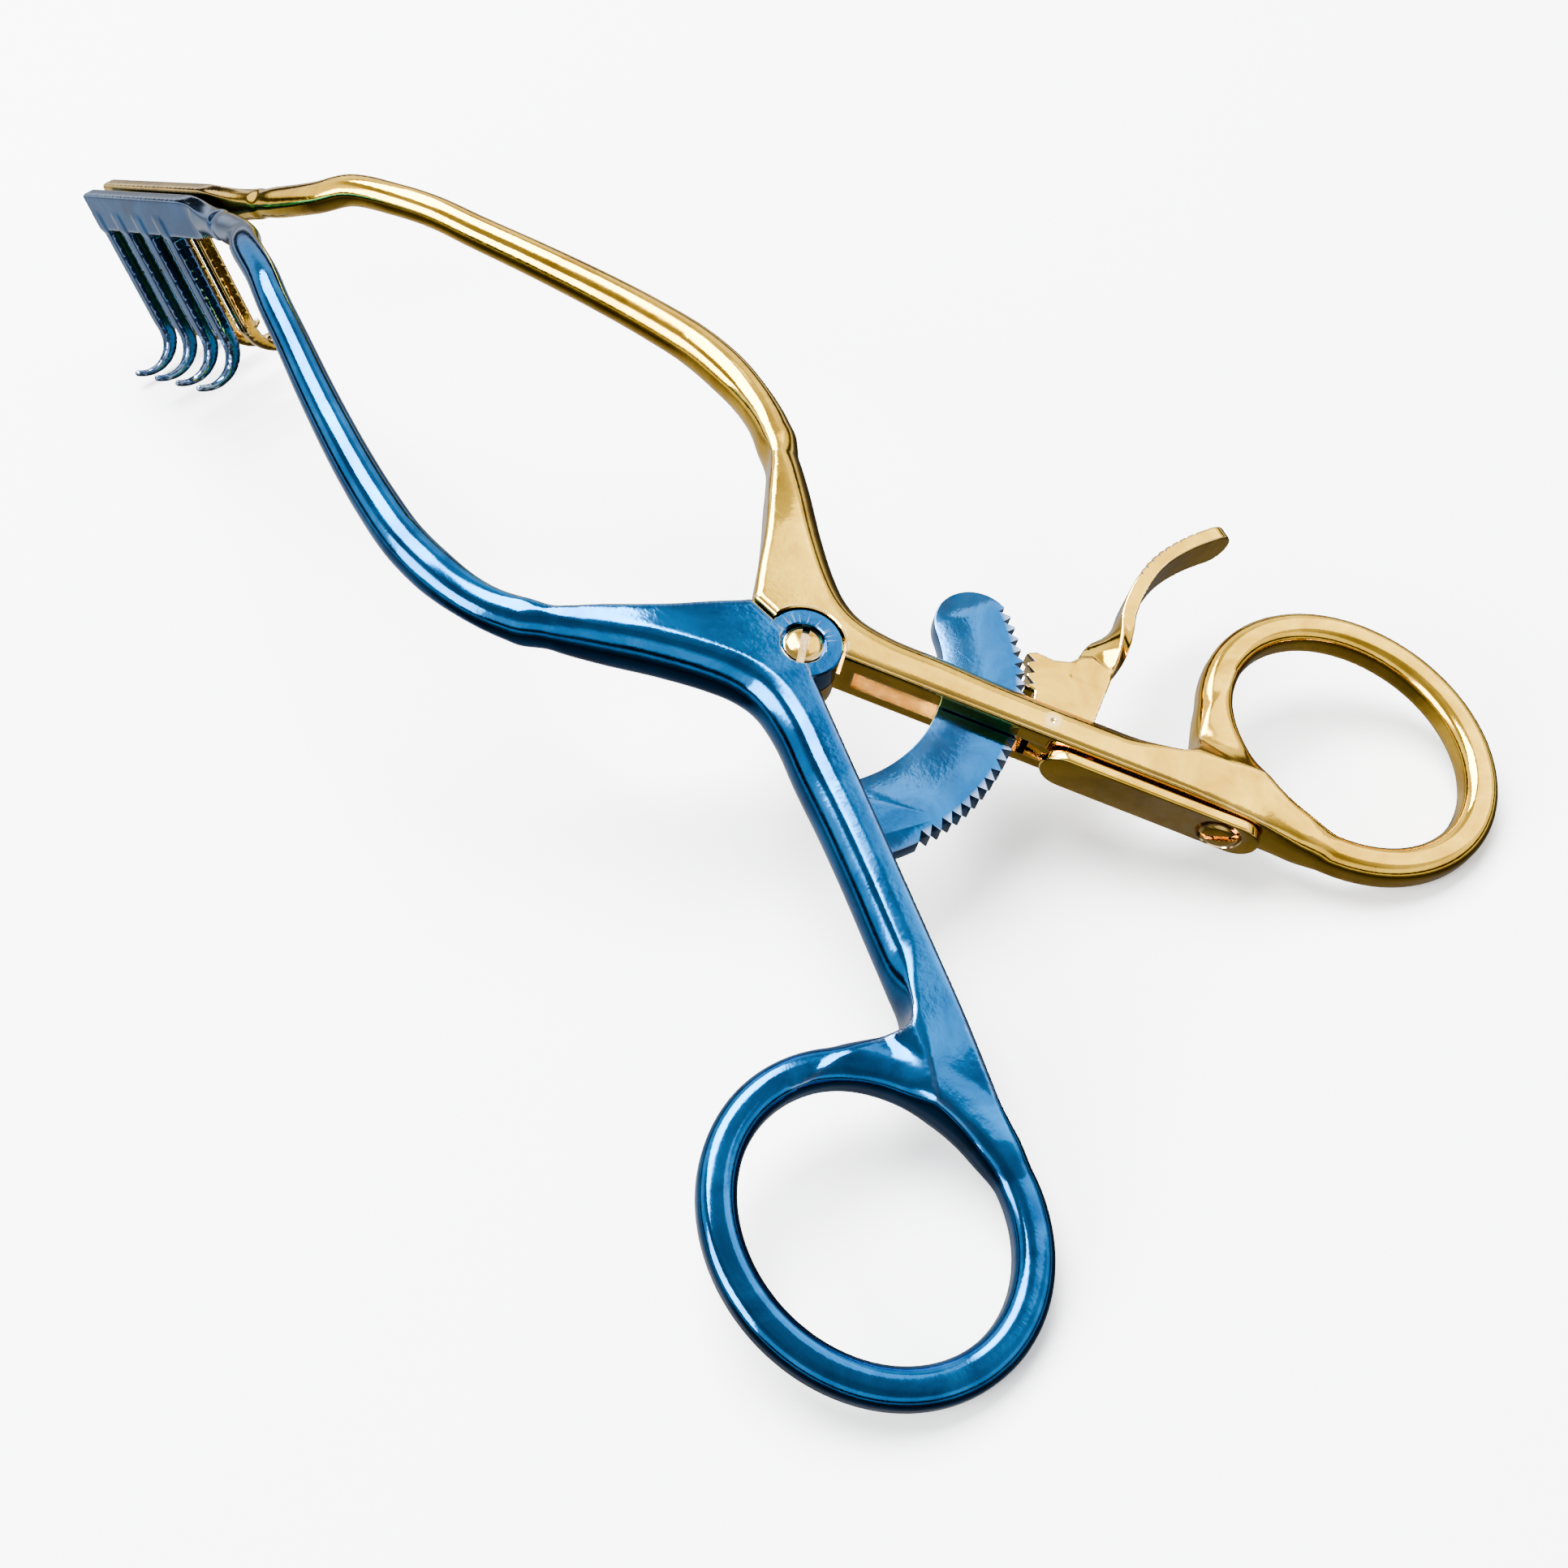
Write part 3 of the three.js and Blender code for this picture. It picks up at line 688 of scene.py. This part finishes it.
def mark_edges(obj):
    """Writes how sharply the surface turns at each point, for the wear along edges."""
    bm = bmesh.new()
    bm.from_mesh(obj.data)
    turn = []
    for v in bm.verts:
        fine = max((e.calc_length() for e in v.link_edges), default=1.0) < FINE_EDGE * MM
        turn.append(max((e.calc_face_angle(0.0) for e in v.link_edges), default=0.0) if fine else 0.0)
    bm.free()
    attribute = obj.data.attributes.new("edge", "FLOAT", "POINT")
    attribute.data.foreach_set("value", [min(1.0, max(0.0, (t - WEAR_FROM) / WEAR_SPAN)) for t in turn])


def finished(obj, which, body, *nodes):
    """Gives a piece its finish and its body, and hides the CAD nodes it stands for."""
    mark_edges(obj)
    obj.data.materials.clear()
    obj.data.materials.append(finish_named(which))
    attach(obj, body)
    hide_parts(*nodes)
    return obj


# ---- the arms ----
SLOT = {"from": 6.2, "to": 33.6, "low": -1.75, "high": 1.15}
LEVER_PIN = {"s": 28.0, "t": 2.3, "radius": 1.1, "low": -2.5}
LEAF = {"from": 28.4, "to": 53.4, "half": 2.75, "thick": 1.3, "screw": 49.0}
LEAF_SCREW = {"head": 2.1, "bore": 2.4, "sink": 0.6, "shank": 0.9, "long": 3.6}
JOINT_SCREW = {"head": 2.2, "bore": 2.5, "sink": 1.7, "shank": 1.4, "turn": 0.62}
TENON = {"inner": 17.6, "outer": 23.2, "from": -1.96, "to": -2.17}
ROOT_PINS = {"radii": (18.8, 22.0), "angle": -2.09, "bore": 0.75}
FIT = 0.012                            # running fit round a pin
MORTISE_GAP = 0.12
MOUTH = 0.16                           # chamfer round the mouth of a recess


def millimetres(pairs):
    return [tuple(v * MM for v in pair) for pair in pairs]


def disc(name, radius, low, high, x=0.0, y=0.0, chamfer=0.0):
    """A plain or top-chamfered cylinder, in millimetres."""
    profile = [(0, low), (radius, low), (radius, high - chamfer), (radius - chamfer, high), (0, high)]
    if not chamfer:
        profile.pop(3)
    made = turned(name, millimetres(profile))
    made.data.transform(Matrix.Translation((x * MM, y * MM, 0)))
    return made


def funnel(name, radius, low, high, flare):
    """A cutter for a round recess whose mouth is eased by a small chamfer."""
    profile = [(0, low), (radius, low), (radius, high - flare), (radius + 2 * flare, high + flare),
               (0, high + flare)]
    return turned(name, millimetres(profile))


def shank_frame():
    """Turns (down the shank, out from it, up) into the tool's frame."""
    c, d = math.cos(HANDLE_ANGLE), math.sin(HANDLE_ANGLE)
    return Matrix(((d, c, 0, 0), (-c, d, 0, 0), (0, 0, 1, 0), (0, 0, 0, 1)))


def leaf_frame(s=0.0):
    """Turns (down the shank, across it, out of its inner face) into the tool's frame."""
    x, y = shank_point(s, SHANK_INNER - settings().arm.gap / MM)
    c, d = math.cos(HANDLE_ANGLE), math.sin(HANDLE_ANGLE)
    return Matrix(((d, 0, -c, x * MM), (-c, 0, -d, y * MM), (0, 1, 0, 0), (0, 0, 0, 1)))


def root_pin_bores(radius, low, high):
    """Cutters for the two pins through the ratchet bar's root."""
    c, s = math.cos(ROOT_PINS["angle"]), math.sin(ROOT_PINS["angle"])
    return [disc("pin bore", radius, low, high, r * c, r * s) for r in ROOT_PINS["radii"]]


def right_arm(points, faces):
    sizes = settings().arm
    half, gap, radius = sizes.half / MM, sizes.gap / MM, sizes.disc_radius / MM
    arm = mesh_object("right_arm_forging", points * MM, faces)
    boolean(arm, "DIFFERENCE", funnel("recess", radius + gap, -gap / 2, half, MOUTH))
    boolean(arm, "UNION", disc("boss", radius, -half + 0.01, -gap / 2))
    slot = box("slot", (SLOT["from"] * MM, -2 * MM, SLOT["low"] * MM),
               (SLOT["to"] * MM, 9 * MM, SLOT["high"] * MM))
    slot.data.transform(shank_frame())
    pin = shank_point(LEVER_PIN["s"], LEVER_PIN["t"])
    screw = disc("screw bore", LEAF_SCREW["shank"] + gap, -LEAF_SCREW["long"] - gap, 2)
    screw.data.transform(leaf_frame(LEAF["screw"]))
    boolean(arm, "DIFFERENCE", disc("pivot", JOINT_SCREW["shank"] + gap, -9, 9), slot,
            disc("pin bore", LEVER_PIN["radius"] + FIT, LEVER_PIN["low"] - gap, 9, *pin), screw)
    return finished(lay_in_place(arm), "gold", "right", "right_arm")


def mortise_outline():
    """The pocket for the ratchet bar's root, a little larger than the root all round."""
    mouth, end = TENON["from"] + 0.12, TENON["to"] - MORTISE_GAP / 20
    inner = arc(TENON["inner"] - MORTISE_GAP, mouth, end, 12)
    outer = arc(TENON["outer"] + MORTISE_GAP, end, mouth, 12)
    return millimetres(inner + outer)


def left_arm(points, faces):
    sizes, ratchet = settings().arm, settings().ratchet
    half, gap, radius = sizes.half / MM, sizes.gap / MM, sizes.disc_radius / MM
    arm = mesh_object("left_arm_forging", points * (-MM, MM, MM), faces[:, ::-1])
    boolean(arm, "DIFFERENCE", disc("recess", radius + gap, -9, gap / 2))
    boolean(arm, "UNION", disc("boss", radius, gap / 2, half - 0.01, chamfer=0.18))
    boolean(arm, "DIFFERENCE", disc("pivot", JOINT_SCREW["shank"] + gap, -9, 9),
            funnel("counterbore", JOINT_SCREW["bore"], half - JOINT_SCREW["sink"], half, MOUTH),
            slab("mortise", mortise_outline(), ratchet.low - MORTISE_GAP * MM,
                 ratchet.high + MORTISE_GAP * MM))
    boolean(arm, "DIFFERENCE", *root_pin_bores(ROOT_PINS["bore"], -9, 2.3))
    return finished(lay_in_place(arm), "blue", "left", "left_arm")


class RETRACTOR_OT_arms(bpy.types.Operator):
    """Builds the two forged arms, from finger ring to hooked tines"""
    bl_idname = "retractor.arms"
    bl_label = "Arms"

    def execute(self, context):
        sizes = settings().arm
        points, faces = surface_of(ArmField(sizes), *ARM_BOX, sizes.mesh_step / MM)
        right_arm(points, faces)
        left_arm(points, faces)
        return {"FINISHED"}


# ---- the ratchet ----
FREE_END = -0.505                      # angle at which the bar's round end starts
CREST_TRIM = 0.08                      # what is taken off the tips of the teeth
TOOTH_SLOPE = 0.74                     # share of the pitch that is the tooth's long face
TOOTH_STEEP = 0.26                     # share that is its steep face


class RETRACTOR_OT_ratchet(bpy.types.Operator):
    """Builds the toothed ratchet bar and finishes its two hidden cross pins"""
    bl_idname = "retractor.ratchet"
    bl_label = "Ratchet bar"

    def execute(self, context):
        sizes = settings().ratchet
        outer = sizes.tip - CREST_TRIM * MM
        middle, half = (sizes.inner + outer) / 2, (outer - sizes.inner) / 2
        first, last = TENON["from"] - 0.05, TENON["to"]
        cap = (middle * math.cos(FREE_END), middle * math.sin(FREE_END))
        outline = arc(outer, FREE_END, first, 60)
        outline += arc(TENON["outer"] * MM, first, last, 8)
        outline += arc(TENON["inner"] * MM, last, first, 8)
        outline += arc(sizes.inner, first, FREE_END, 50)
        outline += arc(half, FREE_END + math.pi, FREE_END, 26, cap)[1:-1]
        bar = slab("ratchet_bar_toothed", outline, sizes.low, sizes.high, 0.1 * MM)
        corners = [(0, 0)]
        for turn in (-TOOTH_SLOPE * sizes.pitch, TOOTH_STEEP * sizes.pitch):
            x, y = sizes.tip * math.cos(turn), 0.995 * sizes.tip * math.sin(turn)
            corners.append((x - sizes.root, y))
        wedge = slab("tooth space", corners, sizes.low - MM, sizes.high + MM)
        notch(bar, wedge, finish_named("blue"), count=sizes.teeth, centre=(0, 0, 0), radius=sizes.root,
              start=sizes.start, pitch=-sizes.pitch)
        boolean(bar, "DIFFERENCE", *root_pin_bores(ROOT_PINS["bore"], -9, 9))
        finished(lay_in_place(bar), "blue", "left", "ratchet_bar")
        for name in ("ratchet_pin_1", "ratchet_pin_2"):
            frame["nodes"][name].data.materials.clear()
            frame["nodes"][name].data.materials.append(finish_named("blue"))
        return {"FINISHED"}


# ---- the release lever ----
PAWL_TEETH = 3
PAWL_FIRST = 4
PAWL_DEPTH = 0.7                       # reach past the bar's crests when the pawl is in
PAWL_LIFT = 0.114                      # turn about the pin that holds it clear of them at rest
LEVER_BOX = ((10, -31, -4), (54, -12, 4))
LEVER_STEP = 0.17
LEVER_HEEL = [(25.9, 2.2), (26.6, 1.2), (28.2, 0.95), (31.2, 0.95), (31.9, 2.0)]
LEVER_NECK = [(18.9, -27.2), (22.5, -25.8), (24.4, -25.0), (25.2, -24.2), (25.2, -21.6), (24.3, -20.9),
              (22.8, -20.3), (21.6, -19.0), (21.2, -17.9)]
STRAP_ROUTE = [(21.0, -24.0), (24.0, -22.8), (27.2, -22.2), (30.6, -21.5), (35.5, -19.6), (40.5, -18.7),
               (45.3, -19.3), (51.3, -21.3)]
GRIP = [(37.6, -18.1), (42.5, -17.9), (47.6, -18.9)]
GRIP_PITCH = 1.2
GRIP_GROOVE = [(-0.6, 0), (0.4, -0.55), (0.4, 0.55)]


def circle_through(a, b, c):
    """Centre and radius of the circle through three points."""
    (ax, ay), (bx, by), (cx, cy) = a, b, c
    d = 2 * (ax * (by - cy) + bx * (cy - ay) + cx * (ay - by))
    aa, bb, cc = ax * ax + ay * ay, bx * bx + by * by, cx * cx + cy * cy
    x = (aa * (by - cy) + bb * (cy - ay) + cc * (ay - by)) / d
    y = (aa * (cx - bx) + bb * (ax - cx) + cc * (bx - ax)) / d
    return (x, y), math.hypot(ax - x, ay - y)


def polygon_distance(points, corners):
    """Signed distance to a closed outline, negative inside."""
    near = np.full(len(points), 1e9)
    inside = np.zeros(len(points), bool)
    for (ax, ay), (bx, by) in zip(corners, corners[1:] + corners[:1]):
        dx, dy = bx - ax, by - ay
        qx, qy = points[:, 0] - ax, points[:, 1] - ay
        t = np.clip((qx * dx + qy * dy) / (dx * dx + dy * dy), 0, 1)
        near = np.minimum(near, np.hypot(qx - t * dx, qy - t * dy))
        spans = (ay > points[:, 1]) != (by > points[:, 1])
        inside ^= spans & (qx < dx * qy / (dy if dy else 1))
    return np.where(inside, -near, near)


def lifted(point):
    """A point of the engaged pawl, turned about the pin to where it clears the crests."""
    x, y = shank_point(LEVER_PIN["s"], LEVER_PIN["t"])
    c, s = math.cos(PAWL_LIFT), -math.sin(PAWL_LIFT)
    return x + c * (point[0] - x) - s * (point[1] - y), y + s * (point[0] - x) + c * (point[1] - y)


class LeverField:
    """The pawl plate, flat in the slot, and the strap that turns on edge and ends in a pad."""

    def __init__(self, sizes, ratchet):
        first = ratchet.start - PAWL_FIRST * ratchet.pitch
        last = first - PAWL_TEETH * ratchet.pitch
        tip = ratchet.tip / MM
        outline = arc(tip + 0.3, first + 0.01, first + 0.005, 2)
        outline += arc(tip - PAWL_DEPTH, first, last, 12)
        outline += arc(tip + 0.4, last - 0.02, last - 0.025, 2)
        outline = [lifted(p) for p in outline]
        outline += [shank_point(*p) for p in LEVER_HEEL]
        self.outline = outline + LEVER_NECK
        self.low, self.high = ratchet.low / MM, ratchet.high / MM
        self.route = smooth_line(STRAP_ROUTE, 0.7)
        self.travel = travel_along(self.route)
        self.tall = (sizes.high - sizes.low) / MM / 2
        self.middle = (sizes.high + sizes.low) / MM / 2
        self.thick = sizes.thick / MM / 2
        self.pin = shank_point(LEVER_PIN["s"], LEVER_PIN["t"])
        self.bore = LEVER_PIN["radius"] + FIT

    def __call__(self, p):
        plan = p[:, :2]
        flat = np.abs(p[:, 2] - (self.low + self.high) / 2) - (self.high - self.low) / 2
        plate = round_and(polygon_distance(plan, self.outline), flat, 0.2)
        near, where = segment_distance(plan, self.route, reach=40)
        index = np.minimum(where.astype(int), len(self.route) - 2)
        run = self.route[index + 1] - self.route[index]
        run /= np.linalg.norm(run, axis=1)[:, None]
        q = plan - self.route[index]
        side = run[:, 0] * q[:, 1] - run[:, 1] * q[:, 0]
        along = self.travel[index] + (run * q).sum(1)
        z = p[:, 2] - self.middle
        twist = math.pi / 2 * ease(3.0, 12.5, along)
        wide = side * np.cos(twist) - z * np.sin(twist)
        deep = side * np.sin(twist) + z * np.cos(twist)
        beyond = np.maximum(along - (self.travel[-1] - self.tall), 0)
        half = self.tall - 0.35 * (1 - ease(8, 20, along))
        pad = np.hypot(beyond, wide) - half
        strap = round_and(pad, np.abs(deep) - self.thick - 0.1 * (1 - ease(2, 12, along)), 0.25)
        strap = round_and(strap, 1.0 - along, 0.5)
        d = round_or(plate, strap, 0.4)
        hole = np.hypot(plan[:, 0] - self.pin[0], plan[:, 1] - self.pin[1]) - self.bore
        return np.maximum(d, -hole)


class RETRACTOR_OT_lever(bpy.types.Operator):
    """Builds the release lever, with its pawl teeth and grooved thumb pad, and its pin"""
    bl_idname = "retractor.lever"
    bl_label = "Release lever"

    def execute(self, context):
        ratchet, sizes = settings().ratchet, settings().lever
        points, faces = surface_of(LeverField(sizes, ratchet), *LEVER_BOX, LEVER_STEP)
        lever = mesh_object("release_lever_strap", points * MM, faces)
        reach, valley = ratchet.tip - PAWL_DEPTH * MM, ratchet.tip + settings().arm.gap
        corners = [(0, 0)]
        for turn in (TOOTH_SLOPE * ratchet.pitch, -TOOTH_STEEP * ratchet.pitch):
            x, y = reach * math.cos(turn), 1.1 * reach * math.sin(turn)
            corners.append((x - valley - 0.15 * MM, y))
        wedge = slab("pawl space", corners, ratchet.low - MM, ratchet.high + MM)
        middle = millimetres([lifted((0, 0))])[0]
        first = ratchet.start - (PAWL_FIRST + TOOTH_SLOPE) * ratchet.pitch - PAWL_LIFT
        notch(lever, wedge, finish_named("gold"), count=PAWL_TEETH, centre=(*middle, 0), radius=valley,
              start=first, pitch=-ratchet.pitch)
        centre, radius = circle_through(*GRIP)
        groove = slab("grip groove", millimetres(GRIP_GROOVE), -4 * MM, 4 * MM)
        begin = math.atan2(GRIP[0][1] - centre[1], GRIP[0][0] - centre[0])
        notch(lever, groove, finish_named("gold"), count=sizes.grooves,
              centre=(centre[0] * MM, centre[1] * MM, 0), radius=radius * MM, start=begin,
              pitch=-GRIP_PITCH / radius)
        finished(lay_in_place(lever), "gold", "lever", "release_lever")
        x, y = shank_point(LEVER_PIN["s"], LEVER_PIN["t"])
        top = settings().arm.half / MM
        pin = disc("lever_pin_turned", LEVER_PIN["radius"], LEVER_PIN["low"], top, x, y)
        punch = turned("punch", millimetres([(0, top - 0.5), (0.38, top + 0.05), (0, top + 0.05)]))
        punch.data.transform(Matrix.Translation((x * MM, y * MM, 0)))
        boolean(pin, "DIFFERENCE", punch)
        finished(lay_in_place(pin), "gold", "right", "lever_pin")
        return {"FINISHED"}


# ---- leaf spring and screws ----
SAW_HALF = 0.42
SAW_DEPTH = 1.0
LEAF_SCREW_TURN = 0.5


class RETRACTOR_OT_leaf_spring(bpy.types.Operator):
    """Builds the leaf spring on the gold shank's inner face"""
    bl_idname = "retractor.leaf_spring"
    bl_label = "Leaf spring"

    def execute(self, context):
        half, thick, quarter = LEAF["half"], LEAF["thick"], math.pi / 2
        ends = arc(half, quarter, 3 * quarter, 25, (LEAF["from"] + half, 0))
        ends += arc(half, -quarter, quarter, 25, (LEAF["to"] - half, 0))
        leaf = slab("leaf_spring_strip", millimetres(ends), 0, thick * MM, 0.28 * MM, 4)
        bore = disc("bore", LEAF_SCREW["shank"] + 0.2, -1, 3, LEAF["screw"], 0)
        sink = funnel("sink", LEAF_SCREW["bore"], thick - LEAF_SCREW["sink"], thick, 0.12)
        sink.data.transform(Matrix.Translation((LEAF["screw"] * MM, 0, 0)))
        boolean(leaf, "DIFFERENCE", bore, sink)
        leaf.data.transform(leaf_frame())
        finished(lay_in_place(leaf), "gold", "right", "leaf_spring")
        return {"FINISHED"}


def slotted_screw(name, screw, seat, top, tip, crown):
    """A turned screw with a crowned head and a sawn slot, in millimetres."""
    head, shank = screw["head"], screw["shank"]
    rim = top - 0.25
    dome = [((head - 0.25) * math.cos(a), rim + 0.12 + crown * math.sin(a))
            for a in (0.0, 0.35, 0.7, 1.0, 1.25, 1.4)]
    profile = [(0, tip), (shank - 0.25, tip), (shank, tip + 0.25), (shank, seat), (head - 0.12, seat),
               (head, seat + 0.12), (head, rim)] + dome + [(0, rim + 0.12 + crown)]
    made = turned(name, millimetres(profile))
    low = (-3 * head * MM, -SAW_HALF * MM, (top - SAW_DEPTH) * MM)
    high = (3 * head * MM, SAW_HALF * MM, (top + 2) * MM)
    saw = box("saw cut", low, high)
    return boolean(made, "DIFFERENCE", saw)


class RETRACTOR_OT_screws(bpy.types.Operator):
    """Builds the slotted joint screw and the leaf spring's screw"""
    bl_idname = "retractor.screws"
    bl_label = "Screws"

    def execute(self, context):
        half, gap = settings().arm.half / MM, settings().arm.gap / MM
        seat = half - JOINT_SCREW["sink"] + gap / 2
        joint = slotted_screw("joint_screw_slotted", JOINT_SCREW, seat, half - 0.1, -half + 0.1, 0.35)
        joint.data.transform(Matrix.Rotation(JOINT_SCREW["turn"], 4, "Z"))
        finished(lay_in_place(joint), "gold", "left", "joint_screw")
        seat = LEAF["thick"] - LEAF_SCREW["sink"] + gap / 2
        leaf = slotted_screw("spring_screw_slotted", LEAF_SCREW, seat, LEAF["thick"] + 0.35,
                             -LEAF_SCREW["long"], 0.3)
        leaf.data.transform(leaf_frame(LEAF["screw"]) @ Matrix.Rotation(LEAF_SCREW_TURN, 4, "Z"))
        finished(lay_in_place(leaf), "gold", "right", "spring_screw")
        return {"FINISHED"}


# ---- floor, light and camera ----
FLOOR_HALF = 3.0                       # metres
CAMERA = {"place": (-91.66, -141.73, 161.02), "turn": (40.301, 4.375, -45.724), "lens": 40.99}


def pale_floor():
    """Matt white card: even, with no pattern to see."""
    material = bpy.data.materials.new("matt white card")
    material.use_nodes = True
    shader = material.node_tree.nodes["Principled BSDF"]
    shader.inputs["Base Color"].default_value = linear(settings().finish.floor)
    shader.inputs["Roughness"].default_value = 0.9
    shader.inputs["Specular IOR Level"].default_value = 0.1
    return material


def lamp(name, place, size, power):
    """A square soft light of size metres, aimed at the model."""
    data = bpy.data.lights.new(name, "AREA")
    data.shape = "SQUARE"
    data.size = size
    data.energy = power
    made = linked(name, data)
    made.location = place
    made.rotation_euler = (-Vector(place)).to_track_quat("-Z", "Y").to_euler()


def light_tent():
    """What polished metal mirrors: a dim room below, a white wall cut by a dark seam, and a ceiling
    that brightens towards the window on the right."""
    world = bpy.data.worlds.new("light tent")
    world.use_nodes = True
    tree = world.node_tree
    tree.nodes.clear()
    way = node(tree, "ShaderNodeTexCoord").outputs["Generated"]
    split = node(tree, "ShaderNodeSeparateXYZ", {}, [way])
    lift = node(tree, "ShaderNodeMapRange", {"From Min": -1.0, "From Max": 1.0}, [split.outputs["Z"]])
    height = ramp(tree, lift, (0.0, 0.10), (0.15, 0.05), (0.30, 0.012), (0.42, 0.08),
                  (0.47, 0.6), (0.50, 0.7), (0.53, 0.012), (0.61, 0.012), (0.65, 1.0), (0.79, 1.0),
                  (0.84, 0.26), (0.96, 0.21), (1.0, 0.35))
    side = multiply_add(tree, split.outputs["Y"], -0.3, split.outputs["X"])
    window = node(tree, "ShaderNodeMapRange", {"From Min": 0.2, "From Max": 0.8, "To Max": 0.6}, [side])
    above = node(tree, "ShaderNodeMapRange", {"From Min": 0.45, "From Max": 0.7}, [split.outputs["Z"]])
    glow = multiply_add(tree, window, above, height)
    far = node(tree, "ShaderNodeMapRange", {"From Min": 0.35, "From Max": 0.75, "To Max": 0.35},
               [split.outputs["Y"]])
    below = node(tree, "ShaderNodeMapRange", {"From Min": -0.1, "From Max": -0.35}, [split.outputs["Z"]])
    table = multiply_add(tree, far, below, glow)
    light = node(tree, "ShaderNodeBackground", {"Strength": 2.3}, [table])
    node(tree, "ShaderNodeOutputWorld", {}, [light])
    return world


class RETRACTOR_OT_stage(bpy.types.Operator):
    """Sets the plain floor, the soft light and the camera"""
    bl_idname = "retractor.stage"
    bl_label = "Stage"

    def execute(self, context):
        corners = [(x * FLOOR_HALF, y * FLOOR_HALF, 0) for x, y in ((-1, -1), (1, -1), (1, 1), (-1, 1))]
        floor = mesh_object("floor", corners, [(0, 1, 2, 3)])
        floor.data.materials.append(pale_floor())
        floor.visible_glossy = False
        context.scene.world = light_tent()
        lamp("overhead softbox", (0.1, 0.35, 0.9), 0.7, 80.0)
        lamp("left softbox", (-0.9, 0.2, 0.5), 0.6, 40.0)
        lamp("window", (0.8, -0.3, 0.95), 0.75, 6.0)
        data = bpy.data.cameras.new("camera")
        data.lens = CAMERA["lens"]
        data.sensor_width = 36.0
        data.clip_start = 0.005
        camera = linked("camera", data)
        camera.location = [v * MM for v in CAMERA["place"]]
        camera.rotation_euler = [math.radians(v) for v in CAMERA["turn"]]
        context.scene.camera = camera
        return {"FINISHED"}


# ---- the add-on ----
def group(kind, name, description):
    return bpy.props.PointerProperty(type=kind, name=name, description=description)


class RetractorSettings(bpy.types.PropertyGroup):
    arm: group(ArmSizes, "Arms", "Sizes of the two arms")
    ratchet: group(RatchetSizes, "Ratchet", "Sizes of the ratchet bar")
    lever: group(LeverSizes, "Lever", "Sizes of the release lever")
    finish: group(FinishColours, "Finish", "Colours of the coatings")


OPERATORS = (RETRACTOR_OT_stage, RETRACTOR_OT_arms, RETRACTOR_OT_ratchet, RETRACTOR_OT_lever,
             RETRACTOR_OT_leaf_spring, RETRACTOR_OT_screws)


class RETRACTOR_PT_panel(bpy.types.Panel):
    """Lists the retractor's sizes and build steps"""
    bl_idname = "RETRACTOR_PT_panel"
    bl_label = "Ratchet Retractor"
    bl_space_type = "VIEW_3D"
    bl_region_type = "UI"
    bl_category = "Retractor"

    def draw(self, context):
        for part in (settings().arm, settings().ratchet, settings().lever, settings().finish):
            column = self.layout.box().column()
            for name in part.__annotations__:
                column.prop(part, name)
        for operator in OPERATORS:
            self.layout.operator(operator.bl_idname)


CLASSES = (ArmSizes, RatchetSizes, LeverSizes, FinishColours, RetractorSettings, *OPERATORS,
           RETRACTOR_PT_panel)


def register():
    for cls in CLASSES:
        bpy.utils.register_class(cls)
    bpy.types.Scene.retractor = bpy.props.PointerProperty(type=RetractorSettings)


def unregister():
    del bpy.types.Scene.retractor
    for cls in reversed(CLASSES):
        bpy.utils.unregister_class(cls)


def main():
    register()
    for operator in OPERATORS:
        getattr(bpy.ops.retractor, operator.bl_idname.split(".")[1])()


if __name__ == "__main__":
    main()
